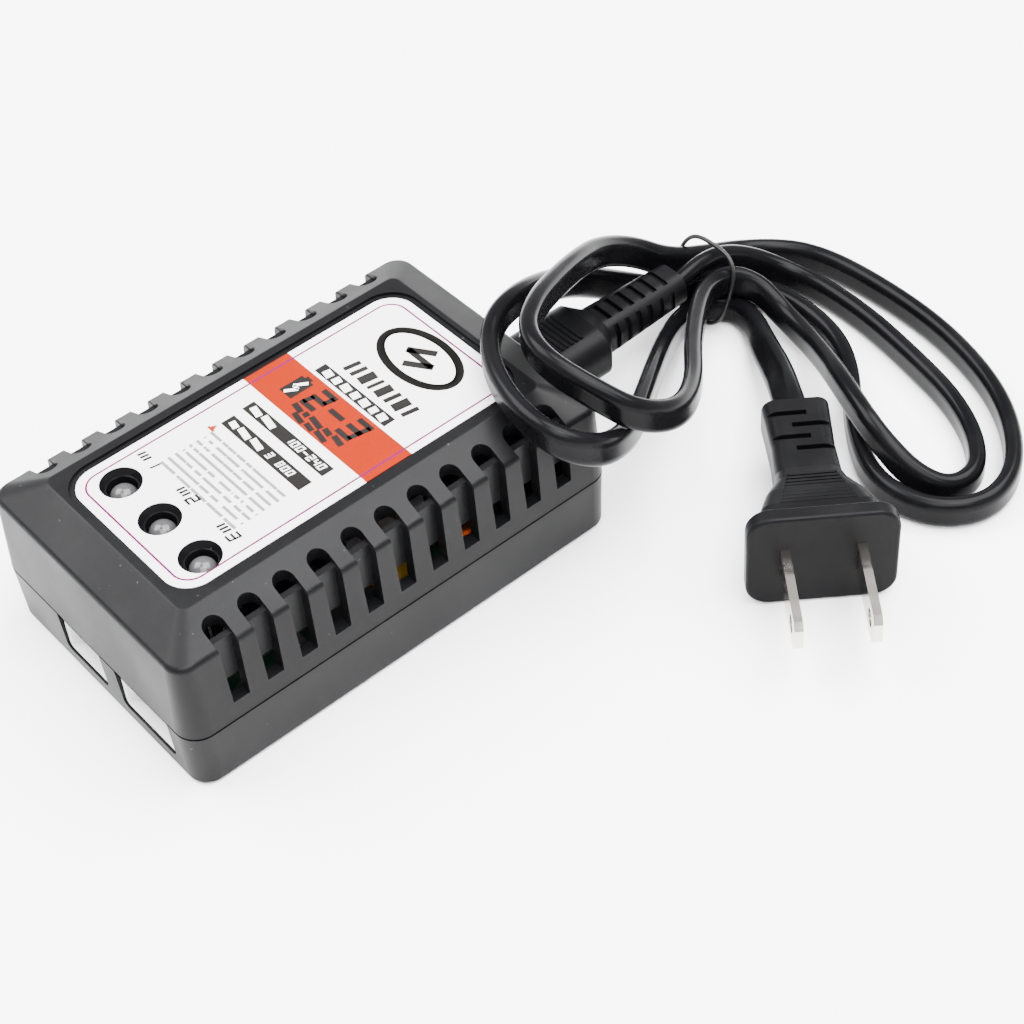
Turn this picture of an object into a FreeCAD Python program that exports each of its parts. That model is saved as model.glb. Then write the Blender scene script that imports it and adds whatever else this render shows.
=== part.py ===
import FreeCAD, Part
import math
import os

from FreeCAD import Vector

# Compact mains-powered balance charger for two- and three-cell battery packs, with its
# detachable two-core mains lead tied up beside it.
# Frame: origin at the bottom centre of the case, +Z up, +Y towards the mains inlet,
# -Y the face with the two balance sockets. Millimetres.

# ---------------------------------------------------------------- case
CASE_WIDTH = 56.0
CASE_LENGTH = 88.0
CASE_HEIGHT = 31.0
SPLIT_Z = 12.0              # parting plane of the two shells
SHOULDER_DROP = 3.5         # height lost from the flat top to the shoulder edge
CORNER_R = 4.2
WALL = 2.2
TOP_DRAFT = 0.8             # how far the upper walls lean in
BASE_DRAFT = 0.5
BAND_WIDE_X = 8.4           # shoulder band, from case side to flat top
BAND_WIDE_Y = 7.7
PLATEAU_R = 1.6
PLATEAU_EDGE_R = 0.8
SHOULDER_R = 1.2
BASE_R = 0.8
FLOOR = 2.0
ROOF = 2.4
LIP_THICK = 1.0
LIP_HIGH = 1.2
LIP_ROOT = 3.0              # how far the lip runs down the inside of the wall
LIP_CLEAR = 0.15
SEAM_HIGH = 0.22            # shadow groove under the parting line
SEAM_DEEP = 0.45

# ---------------------------------------------------------------- label and lamps
LABEL_MARGIN_X = 2.7        # flat top left round the label
LABEL_MARGIN_Y = 2.0
LABEL_R = 5.0
LABEL_THICK = 0.12
RECESS_MARGIN = 1.1
RECESS_DEEP = 0.5
LAMP_COUNT = 3
LAMP_PITCH = 11.2
LAMP_FIRST_X = -10.8
LAMP_INSET = 7.1            # from the end of the label to the row of lamps
LAMP_R = 2.5
LAMP_CLEAR = 0.12
LAMP_WELL_R = 3.5
LAMP_WELL_DEEP = 1.1        # conical part of the well
LAMP_COLLAR = 1.1           # wall of the tube under the roof
LAMP_COLLAR_LONG = 2.2
LAMP_SINK = 1.1             # top of the dome below the label
LAMP_BODY_LONG = 7.6
LAMP_RIM_R = 2.9
LAMP_RIM_HIGH = 1.0
LAMP_LEG_R = 0.25
LAMP_LEG_GAP = 2.54
LAMP_LEG_SEAT = 0.7

# ---------------------------------------------------------------- cooling slots
SLOT_COUNT = 11
SLOT_END = 10.5             # from the end of the case to the last slot
SLOT_WIDE_LOW = 3.1
SLOT_WIDE_HIGH = 3.8
SLOT_BOTTOM_Z = 15.6
SLOT_REACH = 6.0            # from the case side to the round end of a slot
BAFFLE_BACK = 2.6           # from the case side to the panel behind the slots
BAFFLE_THICK = 1.2
BAFFLE_LOW_Z = 18.6
BAFFLE_MARGIN = 1.1

# ---------------------------------------------------------------- screws
SCREW_INSET_X = 5.4
SCREW_INSET_Y = 6.0
SCREW_R = 0.95
SCREW_HEAD_R = 1.95
SCREW_HEAD_HIGH = 1.4
SCREW_LONG = 14.0
SCREW_POINT = 1.2
PILOT_CLEAR = 0.05
BOSS_R = 2.4
HEAD_SINK = 0.6
HEAD_CLEAR = 0.25
SHANK_CLEAR = 0.15

# ---------------------------------------------------------------- circuit board
BOARD_Z = 3.6
BOARD_THICK = 1.4
BOARD_SIDE_GAP = 0.9
BOARD_FRONT_GAP = 8.8       # from the front of the case to the edge of the board
BOARD_REAR_GAP = 16.0
PEG_R = 1.6
PEG_X = 20.0
PEG_Y = 24.0
HOLE_CLEAR = 0.1
SOLDER_SIDE = 0.6           # how far pins stick out under the board

# ---------------------------------------------------------------- balance sockets
PIN_PITCH = 2.5
PIN_SIDE = 0.64
PIN_FIT = 0.02
PIN_Z = 7.2
PIN_NOSE_SINK = 1.6         # pin tips behind the socket face
SOCKET_LOW_Z = 3.2
SOCKET_DEEP = 11.0
SOCKET_BACK_THICK = 2.2
SOCKET_WALL = 0.9
SOCKET_SINK = 0.8           # face of the socket behind the widest part of the case front
SOCKET_GAP = 0.15
SOCKET_R = 1.3
SOCKET_CAVITY_R = 0.5
SOCKET_KEY_WIDE = 1.2
SOCKET_SPACING = 18.25
SOCKET_2S_WIDE = 12.2
SOCKET_2S_PINS = 3
SOCKET_3S_INSET = 14.5      # from the case side to the middle of the wider socket
SOCKET_3S_WIDE = 14.7
SOCKET_3S_PINS = 4

# ---------------------------------------------------------------- mains inlet
INLET_Z = 12.3
INLET_HALF_WIDE = 7.5
INLET_HALF_HIGH = 4.6
INLET_DEEP = 9.9
INLET_WALL = 1.6
INLET_BASE = 2.4
INLET_SINK = 2.7            # rim of the inlet behind the rear face of the case
INLET_MOUTH = 0.4           # case opening wider than the socket inside
POLE_PITCH = 8.6
POLE_R = 1.2
POLE_CLEAR = 0.07
POLE_LONG = 9.2
POLE_BACK = 2.8
TAIL_R = 0.5
TAIL_INSET = 1.6            # pole tails from the rear edge of the board

# ---------------------------------------------------------------- connector of the lead
NOSE_CLEAR = 0.3
NOSE_BOTTOM_GAP = 0.4
NOSE_FRONT_WALL = 0.5
CONNECTOR_GAP = 0.4
GRIP_HALF_WIDE = 7.8
GRIP_HALF_HIGH = 5.2
GRIP_R = 4.4
GRIP_LONG = 18.0
TAPER_LONG = 2.8
NECK_HALF_WIDE = 4.7
NECK_HALF_HIGH = 3.9
NECK_END_WIDE = 4.0
NECK_END_HIGH = 3.45
NECK_R = 3.0
NECK_LONG = 19.3
RELIEF_COUNT = 6
RELIEF_PITCH = 2.75
RELIEF_CUT = 1.15
RELIEF_DEEP = 1.1
RELIEF_SLOT_HALF = 2.3
GRIP_RIBS = 6
GRIP_RIB_PITCH = 1.1
GRIP_RIB_HALF = 4.2
GRIP_RIB_WIDE = 0.55
GRIP_RIB_HIGH = 0.3
GRIP_RIB_START = 8.5
CONTACT_WALL = 0.63
CONTACT_GAP = 0.05
CONTACT_LONG = 9.2
CORD_R = 2.1
CORD_SEAT = 1.2             # how far the cord runs into each moulding
CORD_SEAT_CLEAR = 0.2

# ---------------------------------------------------------------- mains plug
PLUG_X = 66.0
PLUG_Y = 56.3
PLUG_Z = 10.0
PLUG_HEADING = -37.5        # degrees from +X, where the blades point
FLANGE_WIDE = 25.4
FLANGE_HIGH = 20.0
FLANGE_THICK = 3.0
FLANGE_R = 4.2
FLANGE_EDGE_R = 0.6
PLUG_LONG = 34.0
BELL_HALF_WIDE = 10.2
BELL_HALF_HIGH = 8.4
BELL_LONG = 14.0
BELL_FLARE = [(0.2, 0.62, 0.67), (0.5, 0.82, 0.84), (0.8, 0.96, 0.96)]
PLUG_NECK_HALF_WIDE = 5.7
PLUG_NECK_HALF_HIGH = 4.5
PLUG_NECK_R = 2.4
PLUG_GROOVES = 4
PLUG_GROOVE_PITCH = 2.9
PLUG_GROOVE_WIDE = 1.1
PLUG_GROOVE_DEEP = 1.0
PLUG_RIBS = 9
PLUG_RIB_PITCH = 1.0
PLUG_RIB_WIDE = 0.5
PLUG_RIB_HIGH = 0.35
BLADE_PITCH = 12.7
BLADE_LONG = 17.0
BLADE_WIDE = 6.35
BLADE_THICK = 1.5
BLADE_HOLE_R = 1.6
BLADE_HOLE_BACK = 3.6
BLADE_ROOT = 6.0
BLADE_FIT = 0.02
BLADE_TIP_CUT = 1.2

# ---------------------------------------------------------------- tie
TIE_X = -0.2
TIE_Y = 92.6
TIE_Z = 8.05
TIE_R = 8.05
TIE_WIRE_R = 0.4
TIE_LEAN = 20.0             # degrees the top of the loop leans towards +Y

# Route of the mains cord, placed by hand. It starts inside the neck of the connector,
# passes the tie, runs round the inner far loop and over the outer one, back through the
# tie, round the high near loop, through the tie again to the outer far loop, back low,
# round the near loop above the case edge and out through the tie to the plug.
CORD_ROUTE = [
    (0.0, 83.3, 12.3), (-0.3, 89.8, 12.1), (-0.3, 97.0, 10.8), (1.4, 104.0, 7.0),
    (6.0, 108.6, 3.8), (13.0, 110.8, 3.0), (25.5, 110.5, 3.0), (39.5, 108.0, 3.0),
    (51.0, 105.3, 3.0), (60.5, 100.5, 3.0), (66.4, 94.4, 3.0), (65.8, 87.8, 3.2),
    (60.6, 84.6, 5.3), (54.0, 84.0, 8.6), (47.5, 85.4, 10.2), (38.0, 89.5, 9.7), (31.0, 93.4, 7.5),
    (23.0, 97.3, 4.8), (14.5, 99.2, 4.5), (8.3, 99.0, 7.5), (4.3, 95.2, 9.9), (4.3, 89.6, 10.7),
    (9.2, 82.3, 13.1), (18.5, 72.0, 16.8), (30.6, 61.0, 21.9), (37.6, 50.8, 27.0),
    (36.9, 42.6, 31.5), (31.3, 38.5, 35.3), (22.5, 35.5, 38.2), (14.5, 38.0, 38.0),
    (8.7, 45.0, 36.3), (3.5, 53.6, 32.8), (-1.9, 63.1, 28.3), (-7.0, 72.6, 22.8),
    (-8.4, 81.7, 16.9), (-5.3, 88.4, 11.8), (-4.3, 98.0, 7.8), (-4.6, 104.5, 4.8),
    (-1.5, 111.0, 3.4), (3.5, 115.6, 3.0), (12.0, 118.0, 3.0), (27.5, 118.5, 3.0),
    (40.5, 117.0, 3.0), (54.0, 112.8, 3.0), (64.0, 106.5, 3.0), (71.0, 98.5, 3.0),
    (72.6, 90.0, 3.0), (68.0, 83.0, 3.0), (61.0, 80.3, 3.0), (53.0, 81.2, 3.0), (43.5, 87.5, 3.0),
    (33.5, 97.5, 3.0), (25.0, 102.4, 3.0), (15.0, 103.9, 3.0), (6.5, 102.4, 3.0), (0.2, 97.5, 3.4),
    (-3.8, 90.5, 4.0), (-8.2, 83.5, 6.7), (-8.9, 75.2, 12.5), (-6.6, 65.4, 20.4),
    (-2.0, 54.9, 27.9), (2.2, 45.7, 33.2), (5.5, 38.5, 34.8), (10.0, 33.5, 34.3),
    (17.0, 29.5, 34.5), (26.0, 27.0, 34.5), (34.4, 27.6, 33.8), (37.3, 34.1, 29.6),
    (33.6, 42.8, 24.6), (28.1, 50.6, 21.5), (18.5, 62.5, 16.0), (7.6, 76.0, 8.5), (2.3, 84.6, 4.4),
    (1.2, 91.2, 3.6), (5.4, 95.6, 3.0), (11.4, 94.6, 3.2), (17.0, 91.0, 4.4), (26.0, 86.0, 6.5),
    (33.0, 80.9, 9.2), (39.95, 76.27, 10.0),
]

# ---------------------------------------------------------------- parts on the board
CHOKE_X = 14.0
CHOKE_Y = 20.5
CHOKE_R = 4.2
CHOKE_HIGH = 8.5
FUSE_X = -15.5
FUSE_Y = 24.0
FUSE_LONG = 9.0
FUSE_R = 1.9
FUSE_CAP_LONG = 1.8
FUSE_LIFT = 2.6
BRIDGE_X = -15.0
BRIDGE_Y = 17.0
BRIDGE_LONG = 8.2
BRIDGE_WIDE = 6.2
BRIDGE_HIGH = 2.6
FILM_X = 0.5
FILM_Y = 18.0
FILM_LONG = 11.0
FILM_WIDE = 4.4
FILM_HIGH = 8.8
BULK_X = -14.0
BULK_Y = 5.0
BULK_R = 5.2
BULK_HIGH = 16.0
CORE_X = 12.0
CORE_Y = 3.5
CORE_WIDE = 12.0
CORE_LONG = 16.0
CORE_HIGH = 17.0
CORE_LEG = 3.3
WINDING_WIDE = 19.6
WINDING_GAP = 0.15
BOBBIN_HOLE_WIDE = 6.6
CHIP_X = -3.2
CHIP_Y = 6.5
CHIP_WIDE = 6.2
CHIP_LONG = 9.2
CHIP_HIGH = 3.2
OPTO_X = -3.2
OPTO_Y = -4.5
OPTO_LONG = 4.6
RECTIFIER_X = 14.0
RECTIFIER_Y = -9.6
RECTIFIER_LONG = 10.0
RECTIFIER_WIDE = 4.4
RECTIFIER_HIGH = 9.0
OUTPUT_CAP_X = -7.0
OUTPUT_CAP_PITCH = 10.0
OUTPUT_CAP_Y = -14.0
OUTPUT_CAP_R = 4.0
OUTPUT_CAP_HIGH = 12.5
CONTROLLER_COUNT = 3
CONTROLLER_X = -19.0
CONTROLLER_Y = -9.0
CONTROLLER_PITCH = 6.6
CONTROLLER_WIDE = 3.9
CONTROLLER_LONG = 4.9
CONTROLLER_HIGH = 1.5
LEAD_COUNT = 4
LEAD_PITCH = 1.27
LEAD_WIDE = 0.42
LEAD_REACH = 1.0
LEAD_HIGH = 0.5
RESISTOR_COUNT = 6
RESISTOR_X = -8.0
RESISTOR_PITCH = 4.4
RESISTOR_Y = -21.2
RESISTOR_LONG = 2.4
RESISTOR_WIDE = 1.3
RESISTOR_HIGH = 0.6
TRANSISTOR_COUNT = 3
TRANSISTOR_X = 11.2
TRANSISTOR_PITCH = 5.2
TRANSISTOR_Y = -16.4
TRANSISTOR_LONG = 4.2
TRANSISTOR_WIDE = 2.6
TRANSISTOR_HIGH = 1.6

# ---------------------------------------------------------------- values that follow
HALF_WIDE = CASE_WIDTH / 2.0
HALF_LONG = CASE_LENGTH / 2.0
SHOULDER_Z = CASE_HEIGHT - SHOULDER_DROP
LABEL_WIDTH = 2.0 * (HALF_WIDE - BAND_WIDE_X - LABEL_MARGIN_X)
LABEL_LENGTH = 2.0 * (HALF_LONG - BAND_WIDE_Y - LABEL_MARGIN_Y)
LAMP_Y = LAMP_INSET - LABEL_LENGTH / 2.0
SLOT_PITCH = 2.0 * (HALF_LONG - SLOT_END) / (SLOT_COUNT - 1)
SLOT_INNER_X = HALF_WIDE - SLOT_REACH
BAFFLE_OUT_X = HALF_WIDE - BAFFLE_BACK
SCREW_X = HALF_WIDE - SCREW_INSET_X
SCREW_Y = HALF_LONG - SCREW_INSET_Y
BOARD_FRONT_Y = BOARD_FRONT_GAP - HALF_LONG
BOARD_REAR_Y = HALF_LONG - BOARD_REAR_GAP
SOCKET_3S_X = HALF_WIDE - SOCKET_3S_INSET
SOCKET_2S_X = SOCKET_3S_X - SOCKET_SPACING
INLET_END_Y = HALF_LONG - INLET_SINK
TAIL_Y = BOARD_REAR_Y - TAIL_INSET
BOARD_TOP = BOARD_Z + BOARD_THICK
LABEL_Z = CASE_HEIGHT - RECESS_DEEP
BOARD_HALF_WIDE = HALF_WIDE - BASE_DRAFT - WALL - BOARD_SIDE_GAP + 0.3
LAMP_TOP_Z = LABEL_Z + LABEL_THICK - LAMP_SINK
LAMP_RIM_Z = LAMP_TOP_Z - LAMP_BODY_LONG
INLET_FLOOR_Y = INLET_END_Y - INLET_DEEP
CONTACT_R = POLE_R + POLE_CLEAR + CONTACT_WALL
NOSE_START_Y = INLET_FLOOR_Y + NOSE_BOTTOM_GAP
GRIP_START_Y = HALF_LONG + CONNECTOR_GAP
NECK_START_Y = GRIP_START_Y + GRIP_LONG + TAPER_LONG
NECK_END_Y = NECK_START_Y + NECK_LONG
LEAD_SHIFT = NECK_END_Y - CORD_SEAT - CORD_ROUTE[0][1]
SOCKET_TOP_Z = SPLIT_Z - SOCKET_GAP
SOCKET_FACE_Y = -HALF_LONG + SOCKET_SINK


def rounded_wire(half_x, half_y, radius, z, centre=(0.0, 0.0)):
    """Closed rounded rectangle at height z, as four lines and four arcs."""
    diag = radius * math.sqrt(0.5)
    pieces = []
    corners = ((1, 1), (-1, 1), (-1, -1), (1, -1))
    for number, (sx, sy) in enumerate(corners):
        cx = sx * (half_x - radius)
        cy = sy * (half_y - radius)
        along_x = Vector(cx + sx * radius, cy, z)
        along_y = Vector(cx, cy + sy * radius, z)
        middle = Vector(cx + sx * diag, cy + sy * diag, z)
        first, last = (along_x, along_y) if sx * sy > 0 else (along_y, along_x)
        pieces.append(Part.Arc(first, middle, last).toShape())
        nx, ny = corners[(number + 1) % 4]
        next_x = nx * (half_x - radius)
        next_y = ny * (half_y - radius)
        if nx * ny > 0:
            follow = Vector(next_x + nx * radius, next_y, z)
        else:
            follow = Vector(next_x, next_y + ny * radius, z)
        pieces.append(Part.LineSegment(last, follow).toShape())
    wire = Part.Wire(pieces)
    wire.translate(Vector(centre[0], centre[1], 0))
    return wire


def upright_wire(half_x, half_z, radius, y, z=0.0, x=0.0):
    """Rounded rectangle standing in the XZ plane at y."""
    wire = rounded_wire(half_x, half_z, radius, 0.0)
    wire.rotate(Vector(0, 0, 0), Vector(1, 0, 0), 90)
    wire.translate(Vector(x, y, z))
    return wire


def plate(half_x, half_y, radius, low, high, centre=(0.0, 0.0)):
    """Rounded plate between two heights."""
    face = Part.Face(rounded_wire(half_x, half_y, radius, low, centre))
    return face.extrude(Vector(0, 0, high - low))


def upright_plate(half_x, half_z, radius, start, end, z=0.0, x=0.0):
    """Rounded bar along +Y from start to end."""
    face = Part.Face(upright_wire(half_x, half_z, radius, start, z, x))
    return face.extrude(Vector(0, end - start, 0))


def block(x0, x1, y0, y1, z0, z1):
    """Box between two corners."""
    return Part.makeBox(x1 - x0, y1 - y0, z1 - z0, Vector(x0, y0, z0))


def post(x, y, low, high, radius):
    """Vertical round post."""
    return Part.makeCylinder(radius, high - low, Vector(x, y, low), Vector(0, 0, 1))


def rod(x, z, start, end, radius):
    """Round rod along +Y."""
    return Part.makeCylinder(radius, end - start, Vector(x, start, z), Vector(0, 1, 0))


def join(shapes):
    """One solid from several touching ones."""
    result = shapes[0].fuse(shapes[1:])
    return result.removeSplitter()


def cut(shape, tools):
    """Shape with every tool taken away."""
    return shape.cut(tools)


def export(name, shape):
    """Write one node, as a single solid or as a group of solids."""
    solids = shape.Solids
    result = solids[0] if len(solids) == 1 else Part.makeCompound(solids)
    result.exportStep("parts/" + name + ".step")
    print(name, len(solids), "solids", round(result.Volume, 1), "mm3", result.isValid())


def round_edges(shape, z, radius):
    """Round every edge lying in one horizontal plane."""
    picked = []
    for edge in shape.Edges:
        box = edge.BoundBox
        if abs(box.ZMin - z) < 1e-4 and abs(box.ZMax - z) < 1e-4:
            picked.append(edge)
    return shape.makeFillet(radius, picked).Solids[0]


# ------------------------------------------------------------------ case shells
def base_outside():
    """Outer form of the lower shell."""
    bottom = rounded_wire(HALF_WIDE - BASE_DRAFT, HALF_LONG - BASE_DRAFT, CORNER_R - BASE_DRAFT, 0.0)
    split = rounded_wire(HALF_WIDE, HALF_LONG, CORNER_R, SPLIT_Z)
    form = Part.makeLoft([bottom, split], True, True)
    return round_edges(form, 0.0, BASE_R)


def top_outside():
    """Outer form of the upper shell, with the sloping band round the flat top."""
    split = rounded_wire(HALF_WIDE, HALF_LONG, CORNER_R, SPLIT_Z)
    shoulder = rounded_wire(HALF_WIDE - TOP_DRAFT, HALF_LONG - TOP_DRAFT, CORNER_R - TOP_DRAFT, SHOULDER_Z)
    flat = rounded_wire(HALF_WIDE - BAND_WIDE_X, HALF_LONG - BAND_WIDE_Y, PLATEAU_R, CASE_HEIGHT)
    form = Part.makeLoft([split, shoulder, flat], True, True)
    form = round_edges(form, SHOULDER_Z, SHOULDER_R)
    return round_edges(form, CASE_HEIGHT, PLATEAU_EDGE_R)


def top_inside():
    """Hollow of the upper shell."""
    inset = TOP_DRAFT + WALL
    mouth = rounded_wire(HALF_WIDE - WALL, HALF_LONG - WALL, CORNER_R - WALL, SPLIT_Z)
    bend = rounded_wire(HALF_WIDE - inset, HALF_LONG - inset, CORNER_R - inset, SHOULDER_Z - 0.55 * ROOF)
    flat = rounded_wire(HALF_WIDE - BAND_WIDE_X, HALF_LONG - BAND_WIDE_Y, PLATEAU_R, CASE_HEIGHT - ROOF)
    return Part.makeLoft([mouth, bend, flat], True, True)


def base_inside():
    """Hollow of the lower shell above the floor."""
    lean = BASE_DRAFT * (1.0 - FLOOR / SPLIT_Z)
    inset = lean + WALL
    low = rounded_wire(HALF_WIDE - inset, HALF_LONG - inset, CORNER_R - inset, FLOOR)
    mouth = rounded_wire(HALF_WIDE - WALL, HALF_LONG - WALL, CORNER_R - WALL, SPLIT_Z)
    return Part.makeLoft([low, mouth], True, True)


def slot_tools(side):
    """Cutters for the row of cooling slots on one side (side is 1 or -1)."""
    low = SLOT_WIDE_LOW / 2.0
    high = SLOT_WIDE_HIGH / 2.0
    inner = BAFFLE_OUT_X - BAFFLE_THICK
    outer = HALF_WIDE + 2.0
    above = CASE_HEIGHT + 2.0
    tools = []
    for number in range(SLOT_COUNT):
        y = (number - (SLOT_COUNT - 1) / 2.0) * SLOT_PITCH
        corners = [
            Vector(0, y - low, SLOT_BOTTOM_Z),
            Vector(0, y + low, SLOT_BOTTOM_Z),
            Vector(0, y + high, above),
            Vector(0, y - high, above),
            Vector(0, y - low, SLOT_BOTTOM_Z),
        ]
        profile = Part.Face(Part.makePolygon(corners))
        side_cut = profile.extrude(Vector(outer - BAFFLE_OUT_X, 0, 0))
        side_cut.translate(Vector(BAFFLE_OUT_X, 0, 0))
        through = block(inner - 1.0, outer, y - low, y + low, SLOT_BOTTOM_Z, BAFFLE_LOW_Z)
        end = post(SLOT_INNER_X + high, y, SHOULDER_Z, above, high)
        top_cut = block(SLOT_INNER_X + high, outer, y - high, y + high, SHOULDER_Z, above)
        end_deep = post(SLOT_INNER_X + high, y, BAFFLE_LOW_Z, SHOULDER_Z, high)
        open_deep = end_deep.common(block(0.0, inner, y - high, y + high, BAFFLE_LOW_Z, SHOULDER_Z))
        tools.extend([side_cut, through, end, top_cut, open_deep])
    if side < 0:
        tools = [tool.mirror(Vector(0, 0, 0), Vector(1, 0, 0)) for tool in tools]
    return tools


def screw_places():
    """The four screw positions."""
    return [(sx * SCREW_X, sy * SCREW_Y) for sx in (-1, 1) for sy in (-1, 1)]


def lamp_places():
    """X of every lamp."""
    return [LAMP_FIRST_X + number * LAMP_PITCH for number in range(LAMP_COUNT)]


def inlet_mouth():
    """Opening in both shells for the connector."""
    wide = INLET_HALF_WIDE + INLET_MOUTH
    high = INLET_HALF_HIGH + INLET_MOUTH / 4.0
    return upright_plate(wide, high, high - 0.05, INLET_END_Y - 3.0, HALF_LONG + 1.0, INLET_Z)


def upper_shell():
    """Upper half of the case: label recess, lamp wells, cooling slots and screw posts."""
    form = top_outside()
    shell = cut(form, [top_inside()])
    added = []
    baffle_y = (SLOT_COUNT - 1) / 2.0 * SLOT_PITCH + SLOT_WIDE_HIGH / 2.0 + BAFFLE_MARGIN
    for side in (-1, 1):
        x0, x1 = sorted((side * (BAFFLE_OUT_X - BAFFLE_THICK), side * (BAFFLE_OUT_X + 0.5)))
        added.append(block(x0, x1, -baffle_y, baffle_y, BAFFLE_LOW_Z, SHOULDER_Z))
    for x, y in screw_places():
        added.append(post(x, y, SPLIT_Z, SHOULDER_Z, BOSS_R))
    for x in lamp_places():
        low = CASE_HEIGHT - ROOF - LAMP_COLLAR_LONG
        added.append(post(x, LAMP_Y, low, LABEL_Z - 0.3, LAMP_R + LAMP_CLEAR + LAMP_COLLAR))
    shell = join([shell] + added)
    recess = plate(
        LABEL_WIDTH / 2.0 + RECESS_MARGIN,
        LABEL_LENGTH / 2.0 + RECESS_MARGIN,
        LABEL_R + RECESS_MARGIN,
        LABEL_Z,
        CASE_HEIGHT + 1.0,
    )
    tools = [recess, inlet_mouth()]
    for x in lamp_places():
        tools.append(post(x, LAMP_Y, SPLIT_Z, CASE_HEIGHT, LAMP_R + LAMP_CLEAR))
        well_low = LABEL_Z - LAMP_WELL_DEEP
        narrow = LAMP_R + LAMP_CLEAR + 0.25
        tools.append(Part.makeCone(narrow, LAMP_WELL_R, LAMP_WELL_DEEP, Vector(x, LAMP_Y, well_low)))
    for x, y in screw_places():
        tools.append(post(x, y, SPLIT_Z - 1.0, SHOULDER_Z - 6.0, SCREW_R + PILOT_CLEAR))
    tools.extend(slot_tools(1))
    tools.extend(slot_tools(-1))
    return cut(shell, tools)


def lip_ring(outset, inset, low, high):
    """Ring following the case outline between two insets."""
    outer = plate(HALF_WIDE - outset, HALF_LONG - outset, CORNER_R - outset, low, high)
    inner = plate(HALF_WIDE - inset, HALF_LONG - inset, CORNER_R - inset, low - 1.0, high + 1.0)
    return outer.cut(inner)


def socket_opening(x, wide):
    """Opening in the front wall for one balance socket, open to the parting plane."""
    half = wide / 2.0 + SOCKET_GAP
    low = SOCKET_LOW_Z - SOCKET_GAP
    high = SPLIT_Z + 6.0
    middle = (low + high) / 2.0
    half_high = (high - low) / 2.0
    end = BOARD_FRONT_Y + 0.2
    return upright_plate(half, half_high, SOCKET_R, -HALF_LONG - 1.0, end, middle, x)


def lower_shell():
    """Lower half of the case: floor, pegs for the board, lip, screw posts and openings."""
    form = base_outside()
    shell = cut(form, [base_inside()])
    root = lip_ring(WALL - 0.2, WALL + LIP_CLEAR + LIP_THICK, SPLIT_Z - LIP_ROOT, SPLIT_Z)
    lip = lip_ring(WALL + LIP_CLEAR, WALL + LIP_CLEAR + LIP_THICK, SPLIT_Z, SPLIT_Z + LIP_HIGH)
    added = [root, lip]
    for x, y in screw_places():
        added.append(post(x, y, FLOOR / 2.0, SPLIT_Z, BOSS_R))
    for sx in (-1, 1):
        for sy in (-1, 1):
            added.append(post(sx * PEG_X, sy * PEG_Y, FLOOR / 2.0, BOARD_Z, PEG_R))
    rest_z = INLET_Z - INLET_HALF_HIGH - INLET_WALL
    for sx in (-1, 1):
        x0, x1 = sorted((sx * 3.0, sx * 5.0))
        added.append(block(x0, x1, INLET_FLOOR_Y, INLET_END_Y - 1.0, FLOOR / 2.0, rest_z))
    shell = join([shell] + added)
    tools = [inlet_mouth()]
    tools.append(socket_opening(SOCKET_2S_X, SOCKET_2S_WIDE))
    tools.append(socket_opening(SOCKET_3S_X, SOCKET_3S_WIDE))
    tools.append(lip_ring(-1.0, SEAM_DEEP, SPLIT_Z - SEAM_HIGH, SPLIT_Z + 0.5))
    wide = INLET_HALF_WIDE + INLET_WALL + 0.4
    below = SPLIT_Z - LIP_ROOT - 1.0
    above = SPLIT_Z + LIP_HIGH + 1.0
    tools.append(block(-wide, wide, INLET_END_Y - 4.0, INLET_END_Y + 0.3, below, above))
    for x, y in screw_places():
        tools.append(post(x, y, HEAD_SINK - 2.0, HEAD_SINK + SCREW_HEAD_HIGH, SCREW_HEAD_R + HEAD_CLEAR))
        tools.append(post(x, y, HEAD_SINK, SPLIT_Z + 1.0, SCREW_R + SHANK_CLEAR))
        tools.append(post(x, y, SPLIT_Z, above, BOSS_R + HEAD_CLEAR))
    return cut(shell, tools)


def case_screws():
    """Four pan-head screws, driven from below."""
    parts = []
    for x, y in screw_places():
        shoulder = HEAD_SINK + SCREW_HEAD_HIGH
        head = post(x, y, HEAD_SINK, shoulder, SCREW_HEAD_R)
        head = head.cut(block(x - 1.3, x + 1.3, y - 0.22, y + 0.22, HEAD_SINK - 0.1, HEAD_SINK + 0.7))
        head = head.cut(block(x - 0.22, x + 0.22, y - 1.3, y + 1.3, HEAD_SINK - 0.1, HEAD_SINK + 0.7))
        end = shoulder + SCREW_LONG - SCREW_POINT
        shank = post(x, y, shoulder, end, SCREW_R)
        tip = Part.makeCone(SCREW_R, SCREW_R / 4.0, SCREW_POINT, Vector(x, y, end))
        parts.append(join([head, shank, tip]))
    return Part.makeCompound(parts)


# ------------------------------------------------------------------ label and lamps
def label():
    """Printed label lying in the recess, with a hole over each lamp."""
    sheet = plate(LABEL_WIDTH / 2.0, LABEL_LENGTH / 2.0, LABEL_R, LABEL_Z, LABEL_Z + LABEL_THICK)
    holes = [post(x, LAMP_Y, LABEL_Z - 1.0, CASE_HEIGHT, LAMP_WELL_R + 0.1) for x in lamp_places()]
    return cut(sheet, holes)


def lamp(x):
    """One status lamp: domed body on a rim."""
    body = post(x, LAMP_Y, LAMP_RIM_Z, LAMP_TOP_Z - LAMP_R, LAMP_R)
    dome = Part.makeSphere(LAMP_R, Vector(x, LAMP_Y, LAMP_TOP_Z - LAMP_R))
    rim = post(x, LAMP_Y, LAMP_RIM_Z, LAMP_RIM_Z + LAMP_RIM_HIGH, LAMP_RIM_R)
    solid = join([body, dome, rim])
    holes = []
    for side in (-1, 1):
        y = LAMP_Y + side * LAMP_LEG_GAP / 2.0
        holes.append(post(x, y, LAMP_RIM_Z - 1.0, LAMP_RIM_Z + LAMP_LEG_SEAT, LAMP_LEG_R + PIN_FIT))
    return cut(solid, holes)


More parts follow.
